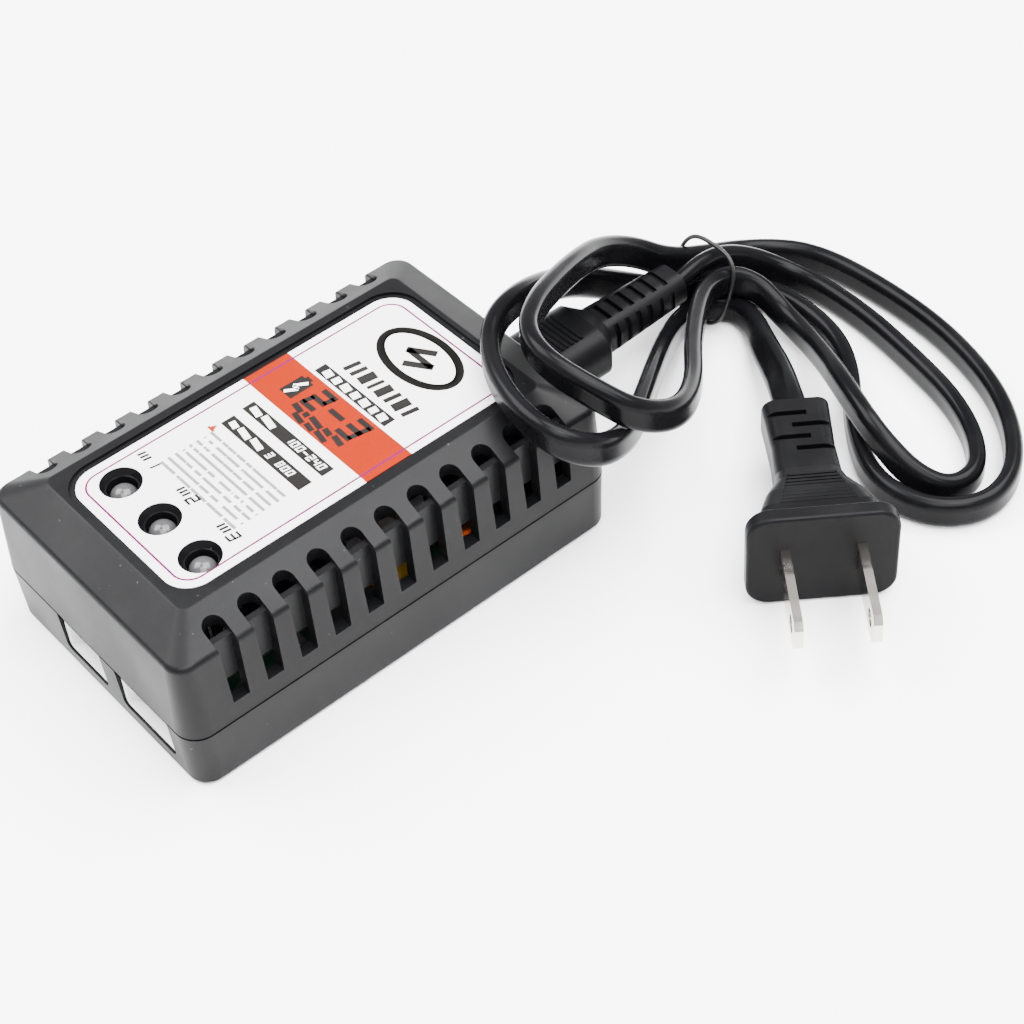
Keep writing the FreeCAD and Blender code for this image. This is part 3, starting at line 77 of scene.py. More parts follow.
# ------------------------------------------------------------------ shader graph
class Graph:
    """Short way to write one material's node tree."""

    def __init__(self, name: str) -> None:
        """Start an empty material.

        Args:
            name: the material's name.
        """
        self.material = bpy.data.materials.new(name)
        self.material.use_nodes = True
        self.tree = self.material.node_tree
        self.tree.nodes.clear()
        self.output = self.tree.nodes.new("ShaderNodeOutputMaterial")

    def put(self, value: "Socket | float | tuple", target: Socket) -> None:
        """Link a socket, or set a constant, on an input.

        Args:
            value: a socket, a number or a tuple.
            target: the input that takes it.
        """
        if isinstance(value, bpy.types.NodeSocket):
            self.tree.links.new(value, target)
        else:
            target.default_value = value

    def node(self, kind: str, **inputs: "Socket | float | tuple") -> bpy.types.Node:
        """Add a node and fill its named inputs.

        Args:
            kind: the node's type name.
            inputs: input names, with underscores for blanks, and their values.

        Returns:
            The new node.
        """
        made = self.tree.nodes.new(kind)
        for name, value in inputs.items():
            self.put(value, made.inputs[name.replace("_", " ")])
        return made

    def math(self, op: Op, first: "Socket | float", second: "Socket | float" = 0.0) -> Socket:
        """Combine two values.

        Args:
            op: the operation.
            first: first value.
            second: second value, unused by one-sided operations.

        Returns:
            The result.
        """
        made = self.tree.nodes.new("ShaderNodeMath")
        made.operation = op.value
        self.put(first, made.inputs[0])
        self.put(second, made.inputs[1])
        return made.outputs[0]

    def coords(self) -> tuple[Socket, Socket, Socket, Socket]:
        """Object coordinates in millimetres.

        Returns:
            The whole vector, then x, y and z.
        """
        source = self.tree.nodes.new("ShaderNodeTexCoord")
        scale = self.tree.nodes.new("ShaderNodeVectorMath")
        scale.operation = "SCALE"
        scale.inputs["Scale"].default_value = 1.0 / MM
        self.tree.links.new(source.outputs["Object"], scale.inputs[0])
        split = self.node("ShaderNodeSeparateXYZ", Vector=scale.outputs[0])
        return scale.outputs[0], split.outputs[0], split.outputs[1], split.outputs[2]

    def noise(self, vector: Socket, scale: float, detail: float = 2.0) -> Socket:
        """Smooth noise from 0 to 1.

        Args:
            vector: where to read it.
            scale: features per millimetre.
            detail: octaves.

        Returns:
            The noise value.
        """
        made = self.node("ShaderNodeTexNoise", Vector=vector, Scale=scale, Detail=detail)
        return made.outputs[0]

    def ramp(self, value: Socket, low: float, high: float, to_low: float, to_high: float) -> Socket:
        """Map one range to another, smoothly and clamped.

        Args:
            value: what to map.
            low: start of the input range.
            high: end of the input range.
            to_low: output at the start.
            to_high: output at the end.

        Returns:
            The mapped value.
        """
        made = self.tree.nodes.new("ShaderNodeMapRange")
        made.interpolation_type = "SMOOTHSTEP"
        for number, entry in enumerate((value, low, high, to_low, to_high)):
            self.put(entry, made.inputs[number])
        return made.outputs[0]

    def mix(self, fac: "Socket | float", first: "Socket | Color", second: "Socket | Color") -> Socket:
        """Mix two colours.

        Args:
            fac: 0 for the first, 1 for the second.
            first: a colour.
            second: a colour.

        Returns:
            The mixed colour.
        """
        made = self.tree.nodes.new("ShaderNodeMix")
        made.data_type = "RGBA"
        self.put(fac, made.inputs[0])
        for entry, target in ((first, made.inputs[6]), (second, made.inputs[7])):
            self.put((*entry, 1.0) if isinstance(entry, tuple) else entry, target)
        return made.outputs[2]

    def bump(self, height: Socket, strength: float, distance: float) -> Socket:
        """Bump from a height.

        Args:
            height: the height value.
            strength: 0 to 1.
            distance: height of a full step, in metres.

        Returns:
            The bent normal.
        """
        made = self.node("ShaderNodeBump", Strength=strength, Distance=distance, Height=height)
        return made.outputs[0]

    def box_mask(self, x: Socket, y: Socket, low: tuple, high: tuple, soft: float = 0.05) -> Socket:
        """1 inside a rectangle, 0 outside.

        Args:
            x: first coordinate.
            y: second coordinate.
            low: lower corner.
            high: upper corner.
            soft: width of the edge.

        Returns:
            The mask.
        """
        result: "Socket | float" = 1.0
        for value, start, end in ((x, low[0], high[0]), (y, low[1], high[1])):
            rise = self.ramp(value, start - soft, start + soft, 0.0, 1.0)
            fall = self.ramp(value, end - soft, end + soft, 1.0, 0.0)
            result = self.math(Op.MUL, result, self.math(Op.MUL, rise, fall))
        return result

    def round_box(self, x: Socket, y: Socket, half_x: float, half_y: float, radius: float) -> Socket:
        """Signed distance to a rounded rectangle about the origin.

        Args:
            x: first coordinate.
            y: second coordinate.
            half_x: half width.
            half_y: half height.
            radius: corner radius.

        Returns:
            The distance, negative inside.
        """
        across = self.math(Op.SUB, self.math(Op.ABS, x), half_x - radius)
        along = self.math(Op.SUB, self.math(Op.ABS, y), half_y - radius)
        out_x = self.math(Op.MAX, across, 0.0)
        out_y = self.math(Op.MAX, along, 0.0)
        square = self.math(Op.ADD, self.math(Op.MUL, out_x, out_x), self.math(Op.MUL, out_y, out_y))
        inside = self.math(Op.MIN, self.math(Op.MAX, across, along), 0.0)
        return self.math(Op.SUB, self.math(Op.ADD, self.math(Op.ROOT, square), inside), radius)

    def finish(self, **inputs: "Socket | float | tuple") -> bpy.types.Material:
        """Close the material with one surface shader.

        Args:
            inputs: inputs of the surface shader.

        Returns:
            The finished material.
        """
        shader = self.node("ShaderNodeBsdfPrincipled", **inputs)
        self.tree.links.new(shader.outputs[0], self.output.inputs[0])
        return self.material


# ------------------------------------------------------------------ finishes
@dataclass(frozen=True)
class Moulded:
    """Moulded plastic with a fine grain and slight unevenness."""

    name: str
    color: Color
    roughness: float = 0.4
    uneven: float = 0.06
    grain: float = 3.0
    grain_deep: float = 0.012
    specular: float = 0.5
    lift: float = 1.18

    def build(self) -> bpy.types.Material:
        """Make the material.

        Returns:
            The material.
        """
        g = Graph(self.name)
        vector, _x, _y, _z = g.coords()
        broad = g.noise(vector, 0.09, 3.0)
        fine = g.noise(vector, self.grain, 2.0)
        rough = g.ramp(broad, *MIDDLE, self.roughness - self.uneven, self.roughness + self.uneven)
        lighter = tuple(min(1.0, c * self.lift + 0.001) for c in self.color)
        color = g.mix(g.ramp(broad, 0.35, 0.7, 0.0, 1.0), self.color, lighter)
        normal = g.bump(fine, 0.5, self.grain_deep * MM)
        return g.finish(Base_Color=color, Roughness=rough, Normal=normal, Specular_IOR_Level=self.specular)


@dataclass(frozen=True)
class Metal:
    """Drawn or plated metal with fine lines."""

    name: str
    color: Color
    roughness: float = 0.25
    lines: float = 1.2
    shade: float = 0.75

    def build(self) -> bpy.types.Material:
        """Make the material.

        Returns:
            The material.
        """
        g = Graph(self.name)
        vector, _x, _y, _z = g.coords()
        broad = g.noise(vector, 0.25, 3.0)
        fine = g.noise(vector, self.lines * 4.0, 4.0)
        rough = g.ramp(broad, *MIDDLE, self.roughness * 0.75, self.roughness * 1.25)
        darker = tuple(self.shade * c for c in self.color)
        color = g.mix(g.ramp(fine, 0.4, 0.75, 0.0, 0.35), self.color, darker)
        normal = g.bump(fine, 0.25, 0.01 * MM)
        return g.finish(Base_Color=color, Metallic=1.0, Roughness=rough, Normal=normal)


@dataclass(frozen=True)
class Clear:
    """Clear or smoky epoxy or glass."""

    name: str
    color: Color
    roughness: float = 0.06
    through: float = 0.92
    index: float = 1.5
    shade: float = 0.85

    def build(self) -> bpy.types.Material:
        """Make the material.

        Returns:
            The material.
        """
        g = Graph(self.name)
        vector, _x, _y, _z = g.coords()
        cloud = g.noise(vector, 0.5, 2.0)
        rough = g.ramp(cloud, *MIDDLE, self.roughness * 0.6, self.roughness * 1.6)
        darker = tuple(self.shade * c for c in self.color)
        color = g.mix(g.ramp(cloud, *MIDDLE, 0.0, 0.3), self.color, darker)
        return g.finish(Base_Color=color, Roughness=rough, IOR=self.index, Transmission_Weight=self.through)


@dataclass(frozen=True)
class CaseFinish:
    """Black case plastic: fine spark grain outside, glossy inside the lamp wells."""

    name: str
    color: Color
    roughness: float = 0.38
    lamp_x: tuple[float, ...] = ()
    lamp_y: float = 0.0
    well: float = 3.7
    well_floor: float = 20.0
    well_rough: float = 0.16
    uneven: float = 0.05
    specular: float = 0.075
    lift: float = 1.25
    speck: Color = (0.12, 0.12, 0.125)

    def build(self) -> bpy.types.Material:
        """Make the material.

        Returns:
            The material.
        """
        g = Graph(self.name)
        vector, x, y, z = g.coords()
        broad = g.noise(vector, 0.06, 4.0)
        smear = g.noise(vector, 0.35, 4.0)
        fine = g.noise(vector, 4.5, 2.0)
        rough = g.ramp(broad, *MIDDLE, self.roughness - self.uneven, self.roughness + self.uneven)
        wells: "Socket | float" = 0.0
        for lamp_x in self.lamp_x:
            across = g.math(Op.SUB, x, lamp_x)
            along = g.math(Op.SUB, y, self.lamp_y)
            square = g.math(Op.ADD, g.math(Op.MUL, across, across), g.math(Op.MUL, along, along))
            wells = g.math(Op.MAX, wells, g.math(Op.LESS, square, self.well * self.well))
        wells = g.math(Op.MUL, wells, g.math(Op.MORE, z, self.well_floor))
        rough = g.math(Op.SUB, rough, g.math(Op.MUL, wells, self.roughness - self.well_rough))
        lighter = tuple(self.lift * c for c in self.color)
        color = g.mix(g.ramp(smear, 0.45, 0.75, 0.0, 1.0), self.color, lighter)
        specks = g.ramp(g.noise(vector, 1.4, 1.0), 0.78, 0.81, 0.0, 0.25)
        color = g.mix(specks, color, self.speck)
        grain = g.math(Op.MUL, fine, g.math(Op.SUB, 1.0, wells))
        normal = g.bump(grain, 0.55, 0.02 * MM)
        return g.finish(Base_Color=color, Roughness=rough, Normal=normal, Specular_IOR_Level=self.specular)


@dataclass(frozen=True)
class LabelFinish:
    """Printed label: border line, colour band, bars, rows of fine rules.

    Boxes are given as lower corner and upper corner, in millimetres from the middle of the label.
    """

    name: str = "label print"
    half_x: float = 16.9
    half_y: float = 34.3
    radius: float = 5.0
    border_in: float = 1.7
    border_wide: float = 0.19
    band: tuple = ((-30.0, 1.7), (30.0, 11.05))
    bars: tuple = (((-11.2, -2.7), (10.9, -0.2)), ((-10.8, -7.35), (10.8, -4.6)))
    dashes: tuple = ((-10.2, -20.4), (10.6, -9.0))
    dash_pitch: float = 1.42
    dash_half: float = 0.2
    dash_ink: float = 0.8
    white: Color = (0.66, 0.65, 0.66)
    orange: Color = (0.17, 0.0085, 0.0001)
    magenta: Color = (0.085, 0.002, 0.045)
    ink: Color = (0.008, 0.0075, 0.007)
    rough: tuple[float, float] = (0.34, 0.42)
    specular: float = 0.06

    def build(self) -> bpy.types.Material:
        """Make the material.

        Returns:
            The material.
        """
        g = Graph(self.name)
        vector, x, y, _z = g.coords()
        edge = g.round_box(x, y, self.half_x, self.half_y, self.radius)
        line = g.math(Op.LESS, g.math(Op.ABS, g.math(Op.ADD, edge, self.border_in)), self.border_wide)
        color: "Socket | Color" = self.white
        color = g.mix(g.box_mask(x, y, *self.band), color, self.orange)
        color = g.mix(line, color, self.magenta)
        for low, high in self.bars:
            color = g.mix(g.box_mask(x, y, low, high), color, self.ink)
        color = g.mix(self.rules(g, x, y), color, self.ink)
        sheen = g.noise(vector, 0.12, 2.0)
        rough = g.ramp(sheen, *MIDDLE, *self.rough)
        normal = g.bump(g.noise(vector, 1.5, 3.0), 0.2, 0.01 * MM)
        return g.finish(Base_Color=color, Roughness=rough, Normal=normal, Specular_IOR_Level=self.specular)

    def rules(self, g: Graph, x: Socket, y: Socket) -> Socket:
        """Rows of short plain dashes under the bars.

        A row repeats every pitch; noise stretched across each row leaves the gaps.

        Args:
            g: the graph.
            x: across the label.
            y: along the label.

        Returns:
            1 on a dash.
        """
        row = g.math(Op.DIV, g.math(Op.SUB, y, self.dashes[0][1]), self.dash_pitch)
        index = g.math(Op.FLOOR, row)
        inside = g.math(Op.FRACT, row)
        stroke = g.math(Op.LESS, g.math(Op.ABS, g.math(Op.SUB, inside, 0.5)), self.dash_half)
        place = g.node("ShaderNodeCombineXYZ", X=x, Y=g.math(Op.MUL, index, 7.3), Z=0.0)
        gaps = g.ramp(g.noise(place.outputs[0], 0.9, 1.0), 0.4, 0.42, 0.0, 1.0)
        within = g.box_mask(x, y, *self.dashes, 0.02)
        return g.math(Op.MUL, g.math(Op.MUL, stroke, gaps), g.math(Op.MUL, within, self.dash_ink))


# ------------------------------------------------------------------ geometry
class Surface:
    """Builds mesh objects from numpy grids."""

    @staticmethod
    def mesh(name: str, points: np.ndarray, faces: np.ndarray) -> bpy.types.Object:
        """Mesh object from points and four-sided faces.

        Args:
            name: object name.
            points: N by 3, in metres.
            faces: M by 4 indices.

        Returns:
            The object, linked to the scene and smooth.
        """
        data = bpy.data.meshes.new(name)
        data.from_pydata(points.tolist(), [], faces.tolist())
        data.polygons.foreach_set("use_smooth", np.ones(len(data.polygons), dtype=bool))
        data.update()
        made = bpy.data.objects.new(name, data)
        bpy.context.scene.collection.objects.link(made)
        return made

    @staticmethod
    def grid_faces(rows: int, columns: int, wrap: bool = True) -> np.ndarray:
        """Faces of a grid whose columns may close on themselves.

        A face joins a point, the next in its ring, and the same two in the ring below.

        Args:
            rows: rings.
            columns: points in a ring.
            wrap: whether each ring is closed.

        Returns:
            M by 4 indices.
        """
        steps = columns if wrap else columns - 1
        down, across = np.meshgrid(np.arange(rows - 1), np.arange(steps), indexing="ij")
        beside = (across + 1) % columns
        here, below = down * columns, (down + 1) * columns
        corners = (here + across, here + beside, below + beside, below + across)
        return np.stack(corners, axis=-1).reshape(-1, 4)

    @classmethod
    def tube(cls, name: str, rings: np.ndarray) -> bpy.types.Object:
        """Closed tube from rings, with its ends drawn together to a point.

        Each end adds two rings: a smaller copy of the end ring and its middle.

        Args:
            name: object name.
            rings: rings by points by 3.

        Returns:
            The object.
        """
        first = rings[:1].mean(axis=1, keepdims=True)
        last = rings[-1:].mean(axis=1, keepdims=True)
        steps = (0.0, 0.55)
        start = [first + (rings[:1] - first) * step for step in steps]
        end = [last + (rings[-1:] - last) * step for step in reversed(steps)]
        full = np.concatenate(start + [rings] + end, axis=0)
        faces = cls.grid_faces(full.shape[0], full.shape[1])
        return cls.mesh(name, full.reshape(-1, 3), faces)


def strokes(lines: np.ndarray, height: float) -> tuple[np.ndarray, np.ndarray]:
    """Flat four-sided strokes lying at one height.

    A stroke from A to B is the rectangle reaching half its width to each side of that line.

    Args:
        lines: N by 5 with start x, start y, end x, end y and width, in millimetres.
        height: height of the strokes, in millimetres.

    Returns:
        Points in metres and faces.
    """
    start, end, wide = lines[:, 0:2], lines[:, 2:4], lines[:, 4:5]
    along = (end - start) / np.linalg.norm(end - start, axis=1, keepdims=True)
    across = np.column_stack([-along[:, 1], along[:, 0]]) * wide / 2.0
    corners = np.stack([start - across, end - across, end + across, start + across], axis=1)
    corners = corners.reshape(-1, 2)
    points = MM * np.column_stack([corners, np.full(len(corners), height)])
    return points, np.arange(len(corners)).reshape(-1, 4)


def read_spline(name: str, points: list) -> np.ndarray:
    """Read the line of a quadratic spline through its control points.

    Args:
        name: name of the curve used for reading.
        points: control points in metres.

    Returns:
        Points along the line.
    """
    data = bpy.data.curves.new(name, "CURVE")
    data.dimensions = "3D"
    data.resolution_u = 12
    spline = data.splines.new("NURBS")
    spline.points.add(len(points) - 1)
    spline.points.foreach_set("co", np.column_stack([np.array(points), np.ones(len(points))]).ravel())
    spline.order_u = 3
    spline.use_endpoint_u = True
    holder = bpy.data.objects.new(name, data)
    bpy.context.scene.collection.objects.link(holder)
    line = bpy.data.meshes.new_from_object(holder)
    flat = np.empty(len(line.vertices) * 3)
    line.vertices.foreach_get("co", flat)
    bpy.data.objects.remove(holder)
    bpy.data.curves.remove(data)
    bpy.data.meshes.remove(line)
    return flat.reshape(-1, 3)


def even_line(line: np.ndarray, step: float) -> np.ndarray:
    """Points at even distances along a line, found by reading each axis against the run of its length.

    Args:
        line: N by 3 points.
        step: distance between the new points.

    Returns:
        The new points.
    """
    keep = np.concatenate([[True], np.linalg.norm(np.diff(line, axis=0), axis=1) > 1e-9])
    line = line[keep]
    run = np.concatenate([[0.0], np.cumsum(np.linalg.norm(np.diff(line, axis=0), axis=1))])
    count = max(2, int(round(run[-1] / step)) + 1)
    at = np.linspace(0.0, run[-1], count)
    return np.column_stack([np.interp(at, run, line[:, axis]) for axis in range(3)])


# ------------------------------------------------------------------ pieces
@dataclass
class MainsCord:
    """Flat two-core cord, lying mostly on its edge."""

    thick: float = 3.4
    wide: float = 6.0
    step: float = 1.0
    around: int = 36
    waist: float = 0.1
    waist_high: float = 0.8
    flatness: float = 4.0
    route: list = field(default_factory=lambda: [
        (0.0, 83.3, 12.3), (-0.3, 89.8, 12.1), (-0.3, 97.0, 10.8), (1.4, 104.0, 7.0),
        (6.0, 108.6, 3.8), (13.0, 110.8, 3.0), (25.5, 110.5, 3.0), (39.5, 108.0, 3.0),
        (51.0, 105.3, 3.0), (60.5, 100.5, 3.0), (66.4, 94.4, 3.0), (65.8, 87.8, 3.2),
        (60.6, 84.6, 5.3), (54.0, 84.0, 8.6), (47.5, 85.4, 10.2), (38.0, 89.5, 9.7),
        (31.0, 93.4, 7.5), (23.0, 97.3, 4.8), (14.5, 99.2, 4.5), (8.3, 99.0, 7.5),
        (4.3, 95.2, 9.9), (4.3, 89.6, 10.7), (9.2, 82.3, 13.1), (18.5, 72.0, 16.8),
        (30.6, 61.0, 21.9), (37.6, 50.8, 27.0), (36.9, 42.6, 31.5), (31.3, 38.5, 35.3),
        (22.5, 35.5, 38.2), (14.5, 38.0, 38.0), (8.7, 45.0, 36.3), (3.5, 53.6, 32.8),
        (-1.9, 63.1, 28.3), (-7.0, 72.6, 22.8), (-8.4, 81.7, 16.9), (-5.3, 88.4, 11.8),
        (-4.3, 98.0, 7.8), (-4.6, 104.5, 4.8), (-1.5, 111.0, 3.4), (3.5, 115.6, 3.0),
        (12.0, 118.0, 3.0), (27.5, 118.5, 3.0), (40.5, 117.0, 3.0), (54.0, 112.8, 3.0),
        (64.0, 106.5, 3.0), (71.0, 98.5, 3.0), (72.6, 90.0, 3.0), (68.0, 83.0, 3.0),
        (61.0, 80.3, 3.0), (53.0, 81.2, 3.0), (43.5, 87.5, 3.0), (33.5, 97.5, 3.0),
        (25.0, 102.4, 3.0), (15.0, 103.9, 3.0), (6.5, 102.4, 3.0), (0.2, 97.5, 3.4),
        (-3.8, 90.5, 4.0), (-8.2, 83.5, 6.7), (-8.9, 75.2, 12.5), (-6.6, 65.4, 20.4),
        (-2.0, 54.9, 27.9), (2.2, 45.7, 33.2), (5.5, 38.5, 34.8), (10.0, 33.5, 34.3),
        (17.0, 29.5, 34.5), (26.0, 27.0, 34.5), (34.4, 27.6, 33.8), (37.3, 34.1, 29.6),
        (33.6, 42.8, 24.6), (28.1, 50.6, 21.5), (18.5, 62.5, 16.0), (7.6, 76.0, 8.5),
        (2.3, 84.6, 4.4), (1.2, 91.2, 3.6), (5.4, 95.6, 3.0), (11.4, 94.6, 3.2),
        (17.0, 91.0, 4.4), (26.0, 86.0, 6.5), (33.0, 80.9, 9.2), (39.95, 76.27, 10.0),
    ])
    rolls: tuple = (
        (0, 60.0), (1, 20.0), (2, 0.0), (74, 0.0), (75, -12.0), (76, -30.0), (77, -50.0), (79, -60.0),
    )

    def build(self) -> bpy.types.Object:
        """Sweep the flat section along the route.

        Across the thin way a ring is half the thickness times the cosine of the turn, drawn in at
        the middle by a narrow bell curve. The wide way it is a steep tanh of the sine, which keeps
        the flats flat, plus a round end. The ring rolls about the route by the angles in rolls.

        Returns:
            The cord, attached to the mains lead's body.
        """
        points = [tuple(MM * value for value in point) for point in self.route]
        line = even_line(read_spline("cord_line", points), self.step * MM)
        tangent = np.gradient(line, axis=0)
        tangent /= np.linalg.norm(tangent, axis=1, keepdims=True)
        up = np.array([0.0, 0.0, 1.0]) - tangent * tangent[:, 2:3]
        up /= np.linalg.norm(up, axis=1, keepdims=True)
        side = np.cross(tangent, up)
        marks = np.array([points[number] for number, _ in self.rolls])
        nearest = np.linalg.norm(line[None, :, :] - marks[:, None, :], axis=2).argmin(axis=1)
        degrees = np.interp(np.arange(len(line)), nearest, [angle for _, angle in self.rolls])
        roll = np.radians(degrees)[:, None]
        wide_way = up * np.cos(roll) + side * np.sin(roll)
        thin_way = up * np.sin(roll) - side * np.cos(roll)
        turn = np.linspace(0.0, TURN, self.around, endpoint=False)
        round_r = self.thick / 2.0
        flat = (self.wide / 2.0 - round_r) * np.tanh(self.flatness * np.sin(turn))
        high = flat + round_r * np.sin(turn)
        low = round_r * np.cos(turn) * (1.0 - self.waist * np.exp(-((high / self.waist_high) ** 2)))
        section = low[None, :, None] * thin_way[:, None, :] + high[None, :, None] * wide_way[:, None, :]
        cord = Surface.tube("mains_cord_skin", line[:, None, :] + MM * section)
        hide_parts("mains_cord")
        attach(cord, Body.LEAD.value)
        LOG.info("cord: %d rings", len(line))
        return cord

    def dress(self, cord: bpy.types.Object) -> None:
        """Give the cord its finish.

        Args:
            cord: the cord.
        """
        finish = Moulded(
            "cord pvc",
            (0.002, 0.002, 0.0024),
            roughness=0.22,
            uneven=0.03,
            grain=2.0,
            grain_deep=0.006,
            specular=0.045,
        )
        cord.data.materials.append(finish.build())


@dataclass
class CordTie:
    """Thin wire loop round the folded cord: a squarish oval, leaning back."""

    centre: tuple[float, float, float] = (-0.4, 92.6, 8.1)
    half_wide: float = 7.1
    half_high: float = 7.6
    square: float = 3.0
    wire: float = 0.42
    lean: float = 20.0
    steps: int = 120
    around: int = 12

    def build(self) -> bpy.types.Object:
        """Sweep the wire round the loop.

        The loop is half_wide and half_high times the cosine and sine of the turn, each raised to
        2 / square with its sign kept. The wire is a circle about it, and the whole leans about X.

        Returns:
            The tie.
        """
        turn = np.linspace(0.0, TURN, self.steps + 1)[:-1]
        power = 2.0 / self.square
        x = self.half_wide * np.sign(np.cos(turn)) * np.abs(np.cos(turn)) ** power
        z = self.half_high * np.sign(np.sin(turn)) * np.abs(np.sin(turn)) ** power
        flat = np.column_stack([x, np.zeros_like(x), z])
        run = np.roll(flat, -1, axis=0) - np.roll(flat, 1, axis=0)
        run /= np.linalg.norm(run, axis=1, keepdims=True)
        out = np.cross(np.array([0.0, 1.0, 0.0]), run)
        around = np.linspace(0.0, TURN, self.around, endpoint=False)
        ring = flat[:, None, :] + self.wire * np.cos(around)[None, :, None] * out[:, None, :]
        ring[:, :, 1] += self.wire * np.sin(around)[None, :]
        lean = math.radians(self.lean)
        y = ring[:, :, 1] * math.cos(lean) + ring[:, :, 2] * math.sin(lean)
        z = ring[:, :, 2] * math.cos(lean) - ring[:, :, 1] * math.sin(lean)
        points = MM * (np.stack([ring[:, :, 0], y, z], axis=-1) + np.array(self.centre))
        closed = np.concatenate([points, points[:1]], axis=0)
        count = self.steps * self.around
        faces = Surface.grid_faces(closed.shape[0], closed.shape[1]) % count
        made = Surface.mesh("cord_tie_loop", points.reshape(-1, 3), faces)
        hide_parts("cord_tie")
        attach(made, Body.LEAD.value)
        LOG.info("tie: %d points", count)
        return made

    def dress(self, made: bpy.types.Object) -> None:
        """Give the tie its finish.

        Args:
            made: the tie.
        """
        finish = Moulded("tie plastic", (0.003, 0.003, 0.003), roughness=0.35, specular=0.2)
        made.data.materials.append(finish.build())


@dataclass
class SeamShadow:
    """Painted shade: a dark sheet along the groove where the two shells meet, open at the mains inlet."""

    half_x: float = 28.0
    half_y: float = 44.0
    radius: float = 4.2
    low: float = 11.68
    high: float = 12.02
    proud: float = 0.02
    gap: float = 8.6
    bend_steps: int = 14

    def build(self) -> bpy.types.Object:
        """Lay the line round the case.

        Each corner is a quarter circle about its centre, half size less radius from the middle;
        straight runs join them, and a low and a high row stand on the same path.

        Returns:
            The line.
        """
        turn = np.linspace(0.0, math.pi / 2.0, self.bend_steps)
        radius = self.radius + self.proud
        sides = ((-1, 1, 0.5), (-1, -1, 1.0), (1, -1, 1.5), (1, 1, 0.0))
        bends = []
        for sx, sy, start in sides:
            angle = turn + start * math.pi
            x = sx * (self.half_x - self.radius) + radius * np.cos(angle)
            y = sy * (self.half_y - self.radius) + radius * np.sin(angle)
            bends.append(np.column_stack([x, y]))
        edge = self.half_y + self.proud
        path = np.concatenate([[[-self.gap, edge]]] + bends + [[[self.gap, edge]]])
        rows = [np.column_stack([path, np.full(len(path), z)]) for z in (self.low, self.high)]
        faces = Surface.grid_faces(2, len(path), False)
        made = Surface.mesh("seam_shadow", MM * np.concatenate(rows), faces)
        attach(made, Body.CHARGER.value)
        LOG.info("seam line: %d points", 2 * len(path))
        return made

    def dress(self, made: bpy.types.Object) -> None:
        """Give the line its painted shade: near black, matte, without reflection.

        Args:
            made: the line.
        """
        # painted shade of the seam groove: near black, matte, no specular
        black = (0.0006, 0.0006, 0.0006)
        finish = Moulded("seam shade", black, roughness=0.8, grain_deep=0.001, specular=0.0)
        made.data.materials.append(finish.build())


